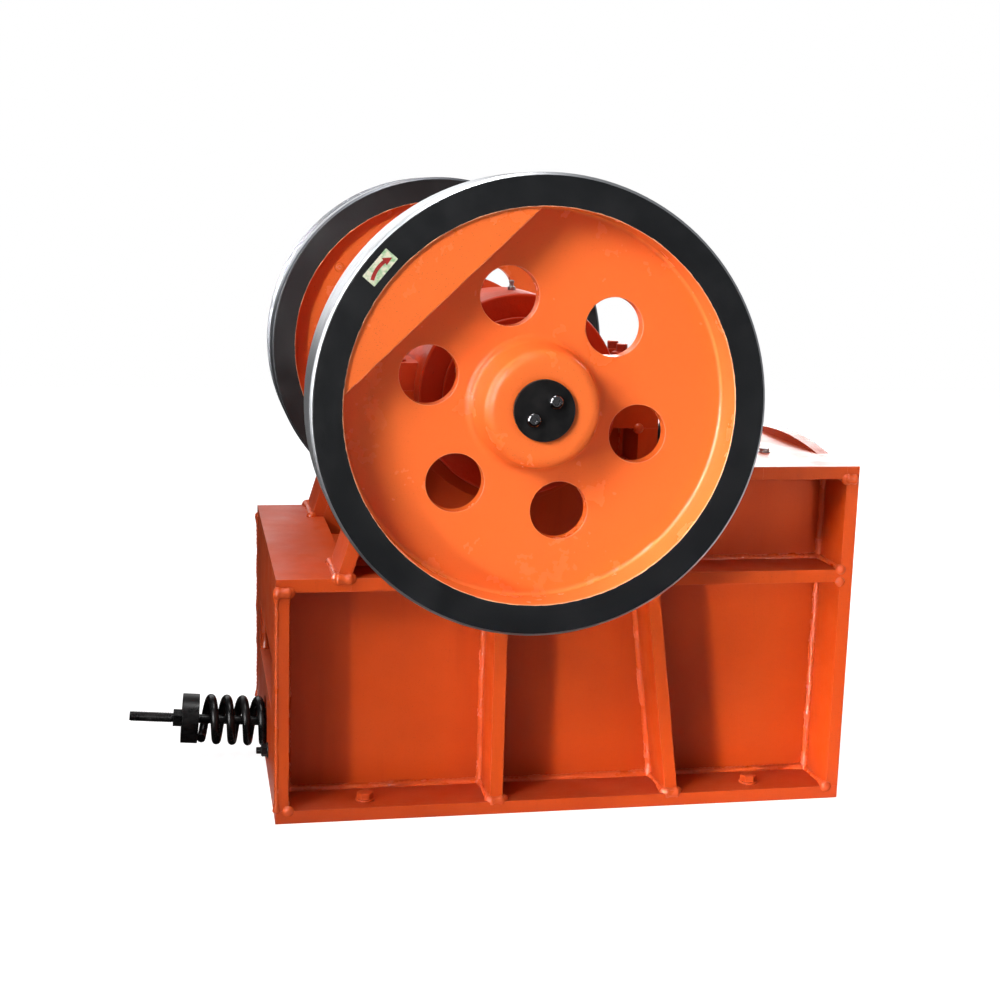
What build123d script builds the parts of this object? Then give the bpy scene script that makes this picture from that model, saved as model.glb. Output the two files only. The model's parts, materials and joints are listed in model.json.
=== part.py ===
from build123d import *
import math
import os

# Jaw crusher with one toggle plate, in millimetres.
# X runs towards the feed end, Y from the plain flywheel to the grooved one, Z up.
# The origin is the middle of the base, on the floor.

# Frame
frame_length = 1217
frame_width = 774
shaft_above_deck = 155
shaft_from_rear = 466
rear_height = 512
front_height = 734
flange_thickness = 27
flange_depth = 120
side_plate_thickness = 28

# Saddle that carries a bearing housing
housing_radius = 198
seat_wall = 25
ear_overhang = 82
ear_depth = 74
edge_rib_thickness = 41
slope_spread = 92.6
slope_seat_gap = 1.2

# Ribs on the side plates
upright_rib_from_rear = 446
leaning_rib_top_from_rear = 766
leaning_rib_foot_from_rear = 828
rib_depth = 112

# Ends of the frame
backing_thickness = 30
rear_beam_height = 176
rear_beam_thickness = 40
lower_cross_height = 193
lower_cross_thickness = 50
front_crown_width = 440
front_crown_rise = 18
gusset_spacing = 220
gusset_thickness = 20

# Flywheels
wheel_diameter = 850
wheel_gap = 152
plain_rim_width = 132
grooved_rim_width = 191
rim_wall = 60
rim_chamfer = 5.5
plain_recess_depth = 78
grooved_recess_depth = 80
web_thickness = 30
hub_radius = 106
hub_draft = 15
hub_face_round = 15
recess_round = 8
web_hole_radius = 55.5
web_hole_pitch_radius = 208
web_hole_count = 6
web_hole_start_angle = 104.8
counterweight_chord = 270
counterweight_angle = 134
counterweight_step = 6
groove_count = 4
groove_pitch = 25.5
groove_width = 22
groove_floor_width = 13
groove_depth = 19
groove_land = 22

# Shaft
wheel_seat_radius = 50
journal_radius = 60
collar_radius = 74
eccentric_radius = 80
throw = 6
end_cap_radius = 57
end_cap_thickness = 8
running_gap = 0.05
wheel_seat_gap = 0.02

# Bearing housings
housing_reach = 71
housing_round = 5
cover_radius = 153
cover_thickness = 10
seal_radius = 98
seal_thickness = 14
clamp_ear_height = 55
collar_gap = 2

# Jaws
cheek_thickness = 28
jaw_side_gap = 8
fixed_jaw_from_shaft = 495
mouth_gap = 230
discharge_gap = 42
fixed_lean_share = 0.5
jaw_floor_height = 110
jaw_plate_thickness = 42
tooth_pitch = 45
tooth_depth = 12
jaw_head_radius = 140
jaw_body_depth = 130
jaw_rib_thickness = 32
jaw_rib_count = 4
jaw_wall = 48
jaw_plate_top_below_shaft = 89
jaw_foot_drop = 15
plate_seam = 1

# Toggle plate and its seats
toggle_block_from_rear = 190
toggle_height = 385
toggle_jaw_height = 225
toggle_thickness = 30
toggle_width = 330
toggle_block_height = 120
toggle_seat_depth = 45
pin_play = 2
block_seat_gap = 0.3
block_lip = 7

# Tension rod and spring
rod_height = 90
rod_tilt = 4.5
rod_radius = 10
rod_reach = 299
nut_radius = 20
nut_thickness = 19
washer_radius = 55
washer_thickness = 36
spring_radius = 56
spring_wire_radius = 9.5
spring_coils = 4.3
spring_reach = 149
spring_pocket_depth = 20
spring_pocket_gap = 4
rod_hole_gap = 8
rod_seat_gap = 0.3
pin_radius = 10
eye_radius = 24
eye_thickness = 30
lug_thickness = 22
lug_wall = 12
lug_side_gap = 5
moving_gap = 5

# Foundation bolts
foundation_hole_radius = 12
foundation_spacing_x = 840
foundation_from_edge = 47

# Cuts
overrun = 5

# Places worked out from the sizes
front_x = frame_length / 2
rear_x = -front_x
side_y = frame_width / 2
plate_out_y = side_y - flange_depth
plate_in_y = plate_out_y - side_plate_thickness
shaft_x = rear_x + shaft_from_rear
shaft_height = front_height + shaft_above_deck
deck_floor = rear_height - flange_thickness
top_floor = front_height - flange_thickness
wheel_radius = wheel_diameter / 2
wheel_back_y = side_y + wheel_gap
housing_face_y = side_y + housing_reach
cover_face_y = housing_face_y + cover_thickness
seal_face_y = cover_face_y + seal_thickness
seat_radius = housing_radius + seat_wall
ear_reach = seat_radius + ear_overhang
ear_floor = shaft_height - ear_depth
slope_rise = ear_floor - rear_height
slope_width = flange_thickness * math.hypot(slope_rise, slope_spread) / slope_rise
eccentric_angle = math.radians(counterweight_angle - 180)
jaw_x = shaft_x + throw * math.cos(eccentric_angle)
jaw_z = shaft_height + throw * math.sin(eccentric_angle)
chamber_y = plate_in_y - cheek_thickness
jaw_y = chamber_y - jaw_side_gap
jaw_plate_top_height = shaft_height - jaw_plate_top_below_shaft
play_radius = throw + pin_play

# Lines of the two jaw faces
chamber_height = front_height - jaw_floor_height
closing = mouth_gap - discharge_gap
fixed_lean = math.atan(closing * fixed_lean_share / chamber_height)
moving_lean = math.atan(closing * (1 - fixed_lean_share) / chamber_height)


def fixed_face_x(z):
    return shaft_x + fixed_jaw_from_shaft - (front_height - z) * math.tan(fixed_lean)


def moving_face_x(z):
    top_x = shaft_x + fixed_jaw_from_shaft - mouth_gap
    return top_x + (front_height - z) * math.tan(moving_lean)


def jaw_front_x(z):
    return moving_face_x(z) - jaw_plate_thickness / math.cos(moving_lean)


def backing_x(z):
    return fixed_face_x(z) + jaw_plate_thickness / math.cos(fixed_lean)


def slope_x(z):
    top_x = shaft_x - seat_radius - slope_seat_gap - slope_width
    return top_x - (ear_floor - z) * slope_spread / slope_rise


deck_front_x = slope_x(rear_height) + slope_width


def block(x0, x1, y0, y1, z0, z1):
    return Pos((x0 + x1) / 2, (y0 + y1) / 2, (z0 + z1) / 2) * Box(x1 - x0, y1 - y0, z1 - z0)


def side_shape(points, y0, y1):
    """A plate whose outline lies in the X-Z plane."""
    outline = Polyline(*[(x, y0, z) for x, z in points], close=True)
    return extrude(make_face(outline), amount=y1 - y0, dir=(0, 1, 0))


def bar_y(radius, x, z, y0, y1):
    return Pos(x, (y0 + y1) / 2, z) * Rot(90, 0, 0) * Cylinder(radius, y1 - y0)


def turned(points, x, z, rounds=None):
    """A body of revolution about Y from radius and Y pairs, with some corners rounded by their number."""
    face = make_face(Polyline(*[(r, y, 0) for r, y in points], close=True))
    for number, radius in (rounds or {}).items():
        r, y = points[number]
        corner = face.vertices().sort_by_distance((r, y, 0))[0]
        face = fillet(corner, radius)
    return Pos(x, 0, z) * revolve(face, Axis.Y)


def far(shape):
    return mirror(shape, about=Plane.XZ)


def save(name, shape):
    solids = shape.solids()
    export_step(solids[0] if len(solids) == 1 else Compound(children=solids), f"parts/{name}.step")


def save_pair(name, shape):
    save("near_" + name, shape)
    save("far_" + name, far(shape))


# Side plates and their flanges, drawn on the near side


def seat_outline_cut():
    ring = bar_y(seat_radius, shaft_x, shaft_height, -side_y, -plate_in_y)
    ears = block(shaft_x - ear_reach, shaft_x + ear_reach, -side_y, -plate_in_y, ear_floor, shaft_height)
    below = block(shaft_x - ear_reach, shaft_x + ear_reach, -side_y, -plate_in_y,
                  shaft_height - housing_radius * 2, shaft_height)
    return (ring & below) + ears


def bearing_seat():
    return seat_outline_cut() - bar_y(housing_radius, shaft_x, shaft_height, -side_y - overrun,
                                      -plate_in_y + overrun)


def side_plate():
    edge_x = shaft_x + ear_reach
    outline = [
        (rear_x + flange_thickness, flange_thickness),
        (front_x - flange_thickness, flange_thickness),
        (front_x - flange_thickness, top_floor),
        (edge_x - edge_rib_thickness, top_floor),
        (edge_x - edge_rib_thickness, ear_floor),
        (slope_x(ear_floor) + slope_width, ear_floor),
        (deck_front_x, rear_height),
        (deck_front_x, deck_floor),
        (rear_x + flange_thickness, deck_floor),
    ]
    return side_shape(outline, -plate_out_y, -plate_in_y) - seat_outline_cut()


def base_flange():
    flange = block(rear_x, front_x, -side_y, -plate_in_y, 0, flange_thickness)
    for x in (-foundation_spacing_x / 2, foundation_spacing_x / 2):
        flange -= Pos(x, foundation_from_edge - side_y, flange_thickness / 2) * Cylinder(
            foundation_hole_radius, flange_thickness + overrun
        )
    return flange


def mid_flange():
    return block(deck_front_x, front_x - flange_thickness, -side_y, -plate_out_y, deck_floor, rear_height)


def top_flange():
    start_x = shaft_x + ear_reach - edge_rib_thickness
    return block(start_x, backing_x(front_height), -side_y, -plate_in_y, top_floor, front_height)


def rear_flange():
    return block(rear_x, rear_x + flange_thickness, -side_y, -plate_in_y, flange_thickness, deck_floor)


def slope_flange():
    outline = [
        (slope_x(rear_height), rear_height),
        (deck_front_x, rear_height),
        (slope_x(ear_floor) + slope_width, ear_floor),
        (slope_x(ear_floor), ear_floor),
    ]
    return side_shape(outline, -side_y, -plate_in_y)


def edge_rib():
    right_x = shaft_x + ear_reach
    return block(right_x - edge_rib_thickness, right_x, -side_y, -plate_in_y, front_height, ear_floor)


def side_ribs():
    upright_x = rear_x + upright_rib_from_rear
    upright = block(upright_x, upright_x + flange_thickness, -plate_out_y - rib_depth, -plate_out_y,
                    flange_thickness, deck_floor)
    top_x = rear_x + leaning_rib_top_from_rear
    foot_x = rear_x + leaning_rib_foot_from_rear
    outline = [
        (foot_x, flange_thickness),
        (foot_x + flange_thickness, flange_thickness),
        (top_x + flange_thickness, deck_floor),
        (top_x, deck_floor),
    ]
    leaning = side_shape(outline, -plate_out_y - rib_depth, -plate_out_y)
    return Compound(children=[upright, leaning])


# Ends of the frame


def rear_deck():
    return block(rear_x, deck_front_x, -side_y, side_y, deck_floor, rear_height)


def rear_beam():
    return block(rear_x, rear_x + rear_beam_thickness, -plate_in_y, plate_in_y,
                 deck_floor - rear_beam_height, deck_floor)


def rod_line_z(x):
    return rod_height - (x - rear_x) * math.tan(math.radians(rod_tilt))


def rod_turn(shape, x):
    """Lays a shape made along +X from the origin on the rod's line, starting at x."""
    return Pos(x, 0, rod_line_z(x)) * Rot(0, rod_tilt, 0) * shape


def along_rod(radius, x0, x1):
    length = (x1 - x0) / math.cos(math.radians(rod_tilt))
    return rod_turn(Pos(length / 2, 0, 0) * Rot(0, 90, 0) * Cylinder(radius, length), x0)


def lower_cross_plate():
    """The plate that the tension spring bears on, at the floor of a round pocket square to the rod."""
    plate = block(rear_x, rear_x + lower_cross_thickness, -plate_in_y, plate_in_y, 0, lower_cross_height)
    hole = along_rod(rod_radius + rod_hole_gap, rear_x - overrun * 2,
                     rear_x + lower_cross_thickness + overrun * 2)
    pocket = along_rod(spring_radius + spring_pocket_gap, rear_x - overrun * 2, spring_end_x())
    return plate - hole - pocket


def front_wall():
    """The front plate, whose top edge rises in a shallow arch over the middle of the deck."""
    x = front_x - flange_thickness
    half = front_crown_width / 2
    edge = Polyline((x, half, front_height), (x, side_y, front_height), (x, side_y, flange_thickness),
                    (x, -side_y, flange_thickness), (x, -side_y, front_height), (x, -half, front_height))
    arch = ThreePointArc((x, -half, front_height), (x, 0, front_height + front_crown_rise),
                         (x, half, front_height))
    return extrude(make_face(edge + arch), amount=flange_thickness, dir=(1, 0, 0))


def front_deck():
    return block(backing_x(front_height), front_x - flange_thickness, -side_y, side_y, top_floor, front_height)


def backing_wall():
    width = backing_thickness / math.cos(fixed_lean)
    outline = [
        (backing_x(flange_thickness), flange_thickness),
        (backing_x(flange_thickness) + width, flange_thickness),
        (backing_x(top_floor) + width, top_floor),
        (backing_x(top_floor), top_floor),
    ]
    return side_shape(outline, -plate_in_y, plate_in_y)


def front_gussets():
    width = backing_thickness / math.cos(fixed_lean)
    outline = [
        (backing_x(flange_thickness) + width, flange_thickness),
        (front_x - flange_thickness, flange_thickness),
        (front_x - flange_thickness, top_floor),
        (backing_x(top_floor) + width, top_floor),
    ]
    pair = []
    for y in (-gusset_spacing / 2, gusset_spacing / 2):
        pair.append(side_shape(outline, y - gusset_thickness / 2, y + gusset_thickness / 2))
    return Compound(children=pair)


# Bearing housings


def bearing_housing():
    outline = [
        (journal_radius + running_gap, -housing_face_y),
        (housing_radius, -housing_face_y),
        (housing_radius, -plate_in_y),
        (journal_radius + running_gap, -plate_in_y),
    ]
    barrel = turned(outline, shaft_x, shaft_height, {1: housing_round})
    ears = block(shaft_x - ear_reach, shaft_x + ear_reach, -side_y, -plate_in_y, shaft_height,
                 shaft_height + clamp_ear_height)
    core = bar_y((housing_radius + journal_radius) / 2, shaft_x, shaft_height, -side_y - overrun,
                 -plate_in_y + overrun)
    return barrel + (ears - core)


def housing_cover():
    """The cover, with a raised ring round the shaft's collar for its seal."""
    bore = collar_radius + collar_gap
    outline = [
        (bore, -housing_face_y),
        (cover_radius, -housing_face_y),
        (cover_radius, -cover_face_y),
        (seal_radius, -cover_face_y),
        (seal_radius, -seal_face_y),
        (bore, -seal_face_y),
    ]
    edge_round = cover_thickness / 4
    return turned(outline, shaft_x, shaft_height, {2: edge_round, 4: edge_round})


# Shaft and flywheels


def eccentric_shaft():
    plain_end = wheel_back_y + plain_rim_width
    grooved_end = wheel_back_y + grooved_rim_width
    collar_start = housing_face_y + collar_gap
    outline = [
        (0, -plain_end),
        (wheel_seat_radius, -plain_end),
        (wheel_seat_radius, -wheel_back_y),
        (collar_radius, -wheel_back_y),
        (collar_radius, -collar_start),
        (journal_radius, -collar_start),
        (journal_radius, collar_start),
        (collar_radius, collar_start),
        (collar_radius, wheel_back_y),
        (wheel_seat_radius, wheel_back_y),
        (wheel_seat_radius, grooved_end),
        (0, grooved_end),
    ]
    return turned(outline, shaft_x, shaft_height) + bar_y(eccentric_radius, jaw_x, jaw_z, -jaw_y, jaw_y)


def wheel(rim_width, recess):
    """A spoked-hole flywheel with its back at Y = 0 and its face at Y = rim_width."""
    web_front = rim_width - recess
    web_back = web_front - web_thickness
    rim_inside = wheel_radius - rim_wall
    hub_root_radius = hub_radius + hub_draft
    outline = [
        (wheel_seat_radius + wheel_seat_gap, 0),
        (hub_radius, 0),
        (hub_root_radius, web_back),
        (rim_inside, web_back),
        (rim_inside, 0),
        (wheel_radius - rim_chamfer, 0),
        (wheel_radius, rim_chamfer),
        (wheel_radius, rim_width - rim_chamfer),
        (wheel_radius - rim_chamfer, rim_width),
        (rim_inside, rim_width),
        (rim_inside, web_front),
        (hub_root_radius, web_front),
        (hub_radius, rim_width),
        (wheel_seat_radius + wheel_seat_gap, rim_width),
    ]
    rounds = {10: recess_round, 11: recess_round, 12: hub_face_round}
    body = turned(outline, 0, 0, rounds)
    for number in range(web_hole_count):
        angle = math.radians(web_hole_start_angle + 360 / web_hole_count * number)
        body -= bar_y(web_hole_radius, web_hole_pitch_radius * math.cos(angle),
                      web_hole_pitch_radius * math.sin(angle), web_back - overrun, web_front + overrun)
    return body + counterweight(web_front, rim_width - counterweight_step)


def counterweight(y0, y1):
    rim_inside = wheel_radius - rim_wall
    disc = bar_y(rim_inside + overrun, 0, 0, y0, y1)
    keep = Pos(counterweight_chord + wheel_radius / 2, (y0 + y1) / 2, 0) * Box(
        wheel_radius, y1 - y0, wheel_diameter
    )
    return disc & (Rot(0, -counterweight_angle, 0) * keep)


def grooved_wheel():
    body = wheel(grooved_rim_width, grooved_recess_depth)
    for number in range(groove_count):
        y = grooved_rim_width - groove_land - groove_width / 2 - groove_pitch * number
        outline = [
            (wheel_radius - groove_depth, y - groove_floor_width / 2),
            (wheel_radius - groove_depth, y + groove_floor_width / 2),
            (wheel_radius, y + groove_width / 2),
            (wheel_radius + overrun, y + groove_width / 2),
            (wheel_radius + overrun, y - groove_width / 2),
            (wheel_radius, y - groove_width / 2),
        ]
        body -= turned(outline, 0, 0)
    return body


def end_cap(y):
    return bar_y(end_cap_radius, shaft_x, shaft_height, y, y + end_cap_thickness)


# Jaws


def toothed_plate(width, length, first_tooth):
    """A plate on X from 0 to its thickness, teeth outward on +X, length up from Z = 0."""
    root = jaw_plate_thickness - tooth_depth
    teeth = int(width / tooth_pitch)
    start_y = -teeth * tooth_pitch / 2
    points = [(0, -width / 2), (root, -width / 2)]
    for number in range(teeth):
        y = start_y + tooth_pitch * number
        low, high = (root, jaw_plate_thickness) if first_tooth else (jaw_plate_thickness, root)
        points.append((low, y))
        points.append((high, y + tooth_pitch / 2))
    points.append((low, start_y + teeth * tooth_pitch))
    points.append((root, width / 2))
    points.append((0, width / 2))
    outline = Polyline(*[(x, y, 0) for x, y in points], close=True)
    return extrude(make_face(outline), amount=length, dir=(0, 0, 1))


def fixed_jaw_plate():
    length = (front_height - jaw_floor_height) / math.cos(fixed_lean)
    plate = Rot(0, 0, 180) * toothed_plate(2 * (plate_in_y - plate_seam), length, False)
    turn = math.degrees(fixed_lean)
    return Pos(backing_x(jaw_floor_height), 0, jaw_floor_height) * Rot(0, turn, 0) * plate


def moving_jaw_plate():
    length = (jaw_plate_top_height - jaw_floor_height) / math.cos(moving_lean)
    plate = toothed_plate(2 * jaw_y, length, True)
    turn = -math.degrees(moving_lean)
    return Pos(jaw_front_x(jaw_floor_height), 0, jaw_floor_height) * Rot(0, turn, 0) * plate


def cheek_plate():
    seam = plate_seam + jaw_plate_thickness / math.cos(fixed_lean) - jaw_plate_thickness
    outline = [
        (jaw_front_x(jaw_floor_height), jaw_floor_height),
        (fixed_face_x(jaw_floor_height) - seam, jaw_floor_height),
        (fixed_face_x(front_height) - seam, front_height),
        (jaw_front_x(front_height), front_height),
    ]
    return side_shape(outline, -plate_in_y, -chamber_y)


def jaw_back_x():
    return jaw_front_x(toggle_jaw_height) - jaw_body_depth


def toggle_end_x():
    return jaw_back_x() + toggle_seat_depth - throw - toggle_thickness


def pin_x():
    return jaw_back_x() - eye_radius - throw * 2 - moving_gap


def moving_jaw():
    foot_z = jaw_floor_height - jaw_foot_drop
    back_x = jaw_back_x()
    outline = [
        (jaw_front_x(foot_z), foot_z),
        (jaw_front_x(jaw_plate_top_height), jaw_plate_top_height),
        (jaw_x + jaw_head_radius / 2, jaw_z + jaw_head_radius / 2),
        (jaw_x - jaw_head_radius / 2, jaw_z - jaw_head_radius / 2),
        (back_x, toggle_jaw_height + toggle_block_height),
        (back_x, foot_z),
    ]
    body = side_shape(outline, -jaw_y, jaw_y) + bar_y(jaw_head_radius, jaw_x, jaw_z, -jaw_y, jaw_y)
    body += jaw_lug(1) + jaw_lug(-1)
    body -= toggle_groove()
    for number in range(jaw_rib_count - 1):
        body -= jaw_pocket(number)
    return body - bar_y(eccentric_radius + running_gap, jaw_x, jaw_z, -jaw_y - overrun, jaw_y + overrun)


def jaw_pocket(number):
    """One of the hollows between the ribs on the back of the jaw."""
    width = (2 * jaw_y - jaw_rib_count * jaw_rib_thickness) / (jaw_rib_count - 1)
    start_y = -jaw_y + jaw_rib_thickness + (width + jaw_rib_thickness) * number
    low_z = toggle_jaw_height + toggle_block_height + jaw_rib_thickness
    top_z = jaw_z - jaw_head_radius - jaw_rib_thickness
    open_x = jaw_x - jaw_head_radius
    outline = [
        (open_x, low_z),
        (jaw_front_x(low_z) - jaw_wall, low_z),
        (jaw_front_x(top_z) - jaw_wall, top_z),
        (open_x, top_z),
    ]
    return side_shape(outline, start_y, start_y + width)


def toggle_groove():
    """The slot in the back of the jaw that the rounded end of the toggle plate bears in."""
    x = toggle_end_x() + throw * math.cos(eccentric_angle)
    z = toggle_jaw_height + throw * math.sin(eccentric_angle)
    radius = toggle_thickness / 2 + play_radius
    mouth_x = jaw_back_x() - overrun
    flare = (x - mouth_x) * math.tan(toggle_turn())
    mouth = side_shape([(x, z - radius), (x, z + radius), (mouth_x, z + radius + flare),
                        (mouth_x, z - radius)], -jaw_y - overrun, jaw_y + overrun)
    return bar_y(radius, x, z, -jaw_y - overrun, jaw_y + overrun) + mouth


def jaw_lug(side):
    """One of the two lugs that the pin of the tension rod passes through."""
    x = pin_x() + throw * math.cos(eccentric_angle)
    z = rod_line_z(pin_x()) + throw * math.sin(eccentric_angle)
    hole = pin_radius + play_radius
    middle = side * (eye_thickness / 2 + lug_side_gap + lug_thickness / 2)
    y0 = middle - lug_thickness / 2
    y1 = middle + lug_thickness / 2
    foot_z = jaw_floor_height - jaw_foot_drop
    root_x = jaw_back_x() + lug_wall
    web = side_shape([(x, z - hole - lug_wall), (root_x, foot_z), (root_x, foot_z + hole * 2 + lug_wall),
                      (x - hole, z + hole)], y0, y1)
    return bar_y(hole + lug_wall, x, z, y0, y1) + web - bar_y(hole, x, z, y0 - overrun, y1 + overrun)


# Toggle plate, tension rod and spring


def toggle_start_x():
    return rear_x + toggle_block_from_rear + block_lip


def toggle_turn():
    return math.atan2(toggle_height - toggle_jaw_height, toggle_end_x() - toggle_start_x())


def toggle_block():
    """The seat of the toggle plate, with a round groove along its front."""
    groove_radius = toggle_thickness / 2 + block_seat_gap
    body = block(rear_x + rear_beam_thickness, rear_x + toggle_block_from_rear, -toggle_width / 2,
                 toggle_width / 2, toggle_height - toggle_block_height / 2, deck_floor)
    return body - bar_y(groove_radius, toggle_start_x(), toggle_height, -toggle_width / 2 - overrun,
                        toggle_width / 2 + overrun)


def toggle_plate():
    length = math.hypot(toggle_end_x() - toggle_start_x(), toggle_height - toggle_jaw_height)
    flat = Pos(length / 2, 0, 0) * Box(length, toggle_width, toggle_thickness)
    for x in (0, length):
        flat += bar_y(toggle_thickness / 2, x, 0, -toggle_width / 2, toggle_width / 2)
    return Pos(toggle_start_x(), 0, toggle_height) * Rot(0, math.degrees(toggle_turn()), 0) * flat


def tension_rod():
    x = pin_x()
    z = rod_line_z(x)
    pin_end = eye_thickness / 2 + lug_side_gap * 2 + lug_thickness
    rod = along_rod(rod_radius, rear_x - rod_reach, x)
    eye = bar_y(eye_radius, x, z, -eye_thickness / 2, eye_thickness / 2)
    return rod + eye + bar_y(pin_radius, x, z, -pin_end, pin_end)


def spring_start_x():
    return rear_x - spring_reach


def spring_end_x():
    return rear_x + spring_pocket_depth


def tension_spring():
    mean = spring_radius - spring_wire_radius
    seat = spring_wire_radius + rod_seat_gap
    length = (spring_end_x() - spring_start_x()) / math.cos(math.radians(rod_tilt))
    rise = length - seat * 2
    path = Pos(seat, 0, 0) * Rot(0, 90, 0) * Helix(rise / spring_coils, rise, mean)
    section = Plane(origin=path @ 0, z_dir=path % 0) * Circle(spring_wire_radius)
    return rod_turn(sweep(section, path=path), spring_start_x())


def spring_washer():
    start = spring_start_x() - washer_thickness
    return along_rod(washer_radius, start, spring_start_x()) - along_rod(
        rod_radius + running_gap, start - overrun, spring_start_x() + overrun
    )


def tension_nut():
    start = spring_start_x() - washer_thickness - nut_thickness
    length = nut_thickness / math.cos(math.radians(rod_tilt))
    nut = extrude(RegularPolygon(nut_radius, 6), amount=length)
    return rod_turn(Rot(0, 90, 0) * nut, start) - along_rod(
        rod_radius + running_gap, start - overrun, start + nut_thickness + overrun
    )


os.makedirs("parts", exist_ok=True)

save_pair("side_plate", side_plate())
save_pair("bearing_seat", bearing_seat())
save_pair("base_flange", base_flange())
save_pair("mid_flange", mid_flange())
save_pair("top_flange", top_flange())
save_pair("rear_flange", rear_flange())
save_pair("slope_flange", slope_flange())
save_pair("edge_rib", edge_rib())
save_pair("side_ribs", side_ribs())
save_pair("cheek_plate", cheek_plate())
save_pair("bearing_housing", bearing_housing())
save_pair("housing_cover", housing_cover())

save("rear_deck", rear_deck())
save("rear_beam", rear_beam())
save("lower_cross_plate", lower_cross_plate())
save("front_wall", front_wall())
save("front_deck", front_deck())
save("backing_wall", backing_wall())
save("front_gussets", front_gussets())

save("eccentric_shaft", eccentric_shaft())
save("plain_flywheel", Pos(shaft_x, 0, shaft_height) * far(Pos(0, wheel_back_y, 0) * wheel(
    plain_rim_width, plain_recess_depth)))
save("grooved_flywheel", Pos(shaft_x, wheel_back_y, shaft_height) * grooved_wheel())
save("near_end_cap", end_cap(-wheel_back_y - plain_rim_width - end_cap_thickness))
save("far_end_cap", end_cap(wheel_back_y + grooved_rim_width))

save("fixed_jaw_plate", fixed_jaw_plate())
save("moving_jaw", moving_jaw())
save("moving_jaw_plate", moving_jaw_plate())
save("toggle_block", toggle_block())
save("toggle_plate", toggle_plate())
save("tension_rod", tension_rod())
save("tension_spring", tension_spring())
save("spring_washer", spring_washer())
save("tension_nut", tension_nut())
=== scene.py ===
"""Looks of a small single-toggle jaw crusher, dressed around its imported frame.

Lengths are metres in the crusher's own frame: X runs to the feed end, Y from the plain flywheel to the
grooved one, and Z up from the base.
"""

import json
import logging
import math
from dataclasses import dataclass
from enum import Enum
from itertools import pairwise
from typing import Any, Sequence

import bpy
from mathutils import Matrix, Vector, noise


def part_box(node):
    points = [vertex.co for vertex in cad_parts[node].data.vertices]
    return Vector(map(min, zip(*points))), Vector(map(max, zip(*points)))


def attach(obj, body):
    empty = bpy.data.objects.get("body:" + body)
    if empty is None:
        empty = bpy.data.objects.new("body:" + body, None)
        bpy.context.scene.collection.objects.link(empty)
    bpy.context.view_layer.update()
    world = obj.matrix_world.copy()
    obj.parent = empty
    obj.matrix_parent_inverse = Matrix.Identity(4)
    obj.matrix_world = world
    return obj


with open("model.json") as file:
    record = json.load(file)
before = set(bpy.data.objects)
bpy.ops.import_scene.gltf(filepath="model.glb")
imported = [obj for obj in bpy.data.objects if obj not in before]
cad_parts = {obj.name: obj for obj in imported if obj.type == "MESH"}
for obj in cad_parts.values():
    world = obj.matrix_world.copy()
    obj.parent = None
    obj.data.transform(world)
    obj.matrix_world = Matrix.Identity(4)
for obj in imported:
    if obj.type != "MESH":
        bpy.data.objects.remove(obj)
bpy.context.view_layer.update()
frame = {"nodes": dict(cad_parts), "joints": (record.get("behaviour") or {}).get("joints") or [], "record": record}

log = logging.getLogger("jaw_crusher")

Colour = tuple[float, float, float, float]
Range = tuple[float, float]
Triple = tuple[float, float, float]
Seam = tuple[Sequence[float], Sequence[float]]
Ring = list[Vector]
Socket = bpy.types.NodeSocket
Material = bpy.types.Material

UP: Triple = (0.0, 0.0, 1.0)
SAME_PLACE = 1e-4
MM_PER_METRE = 1000


class Body(Enum):
    """The bodies of the crusher that pieces are added to."""

    FRAME = "frame"
    SHAFT = "shaft"


class Slot(Enum):
    """The record's material slots."""

    FRAME_PAINT = "frame_paint"
    WHEEL_PAINT = "wheel_paint"
    HOUSING_PAINT = "housing_paint"
    BLACK_PAINT = "black_paint"
    BLACK_STEEL = "black_steel"
    BARE_STEEL = "bare_steel"
    MANGANESE_STEEL = "manganese_steel"
    JAW_PAINT = "jaw_paint"


class Side(Enum):
    """The two long sides, by the sign of Y."""

    NEAR = -1
    FAR = 1

    @property
    def word(self) -> str:
        """The side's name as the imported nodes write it."""
        return self.name.lower()


@dataclass(frozen=True)
class Spots:
    """A random pattern: how fine it is, its octaves, and the two values between which it is read."""

    per_metre: float | Triple
    detail: float = 2.0
    roughness: float = 0.5
    low: float = 0.3
    high: float = 0.7


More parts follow.
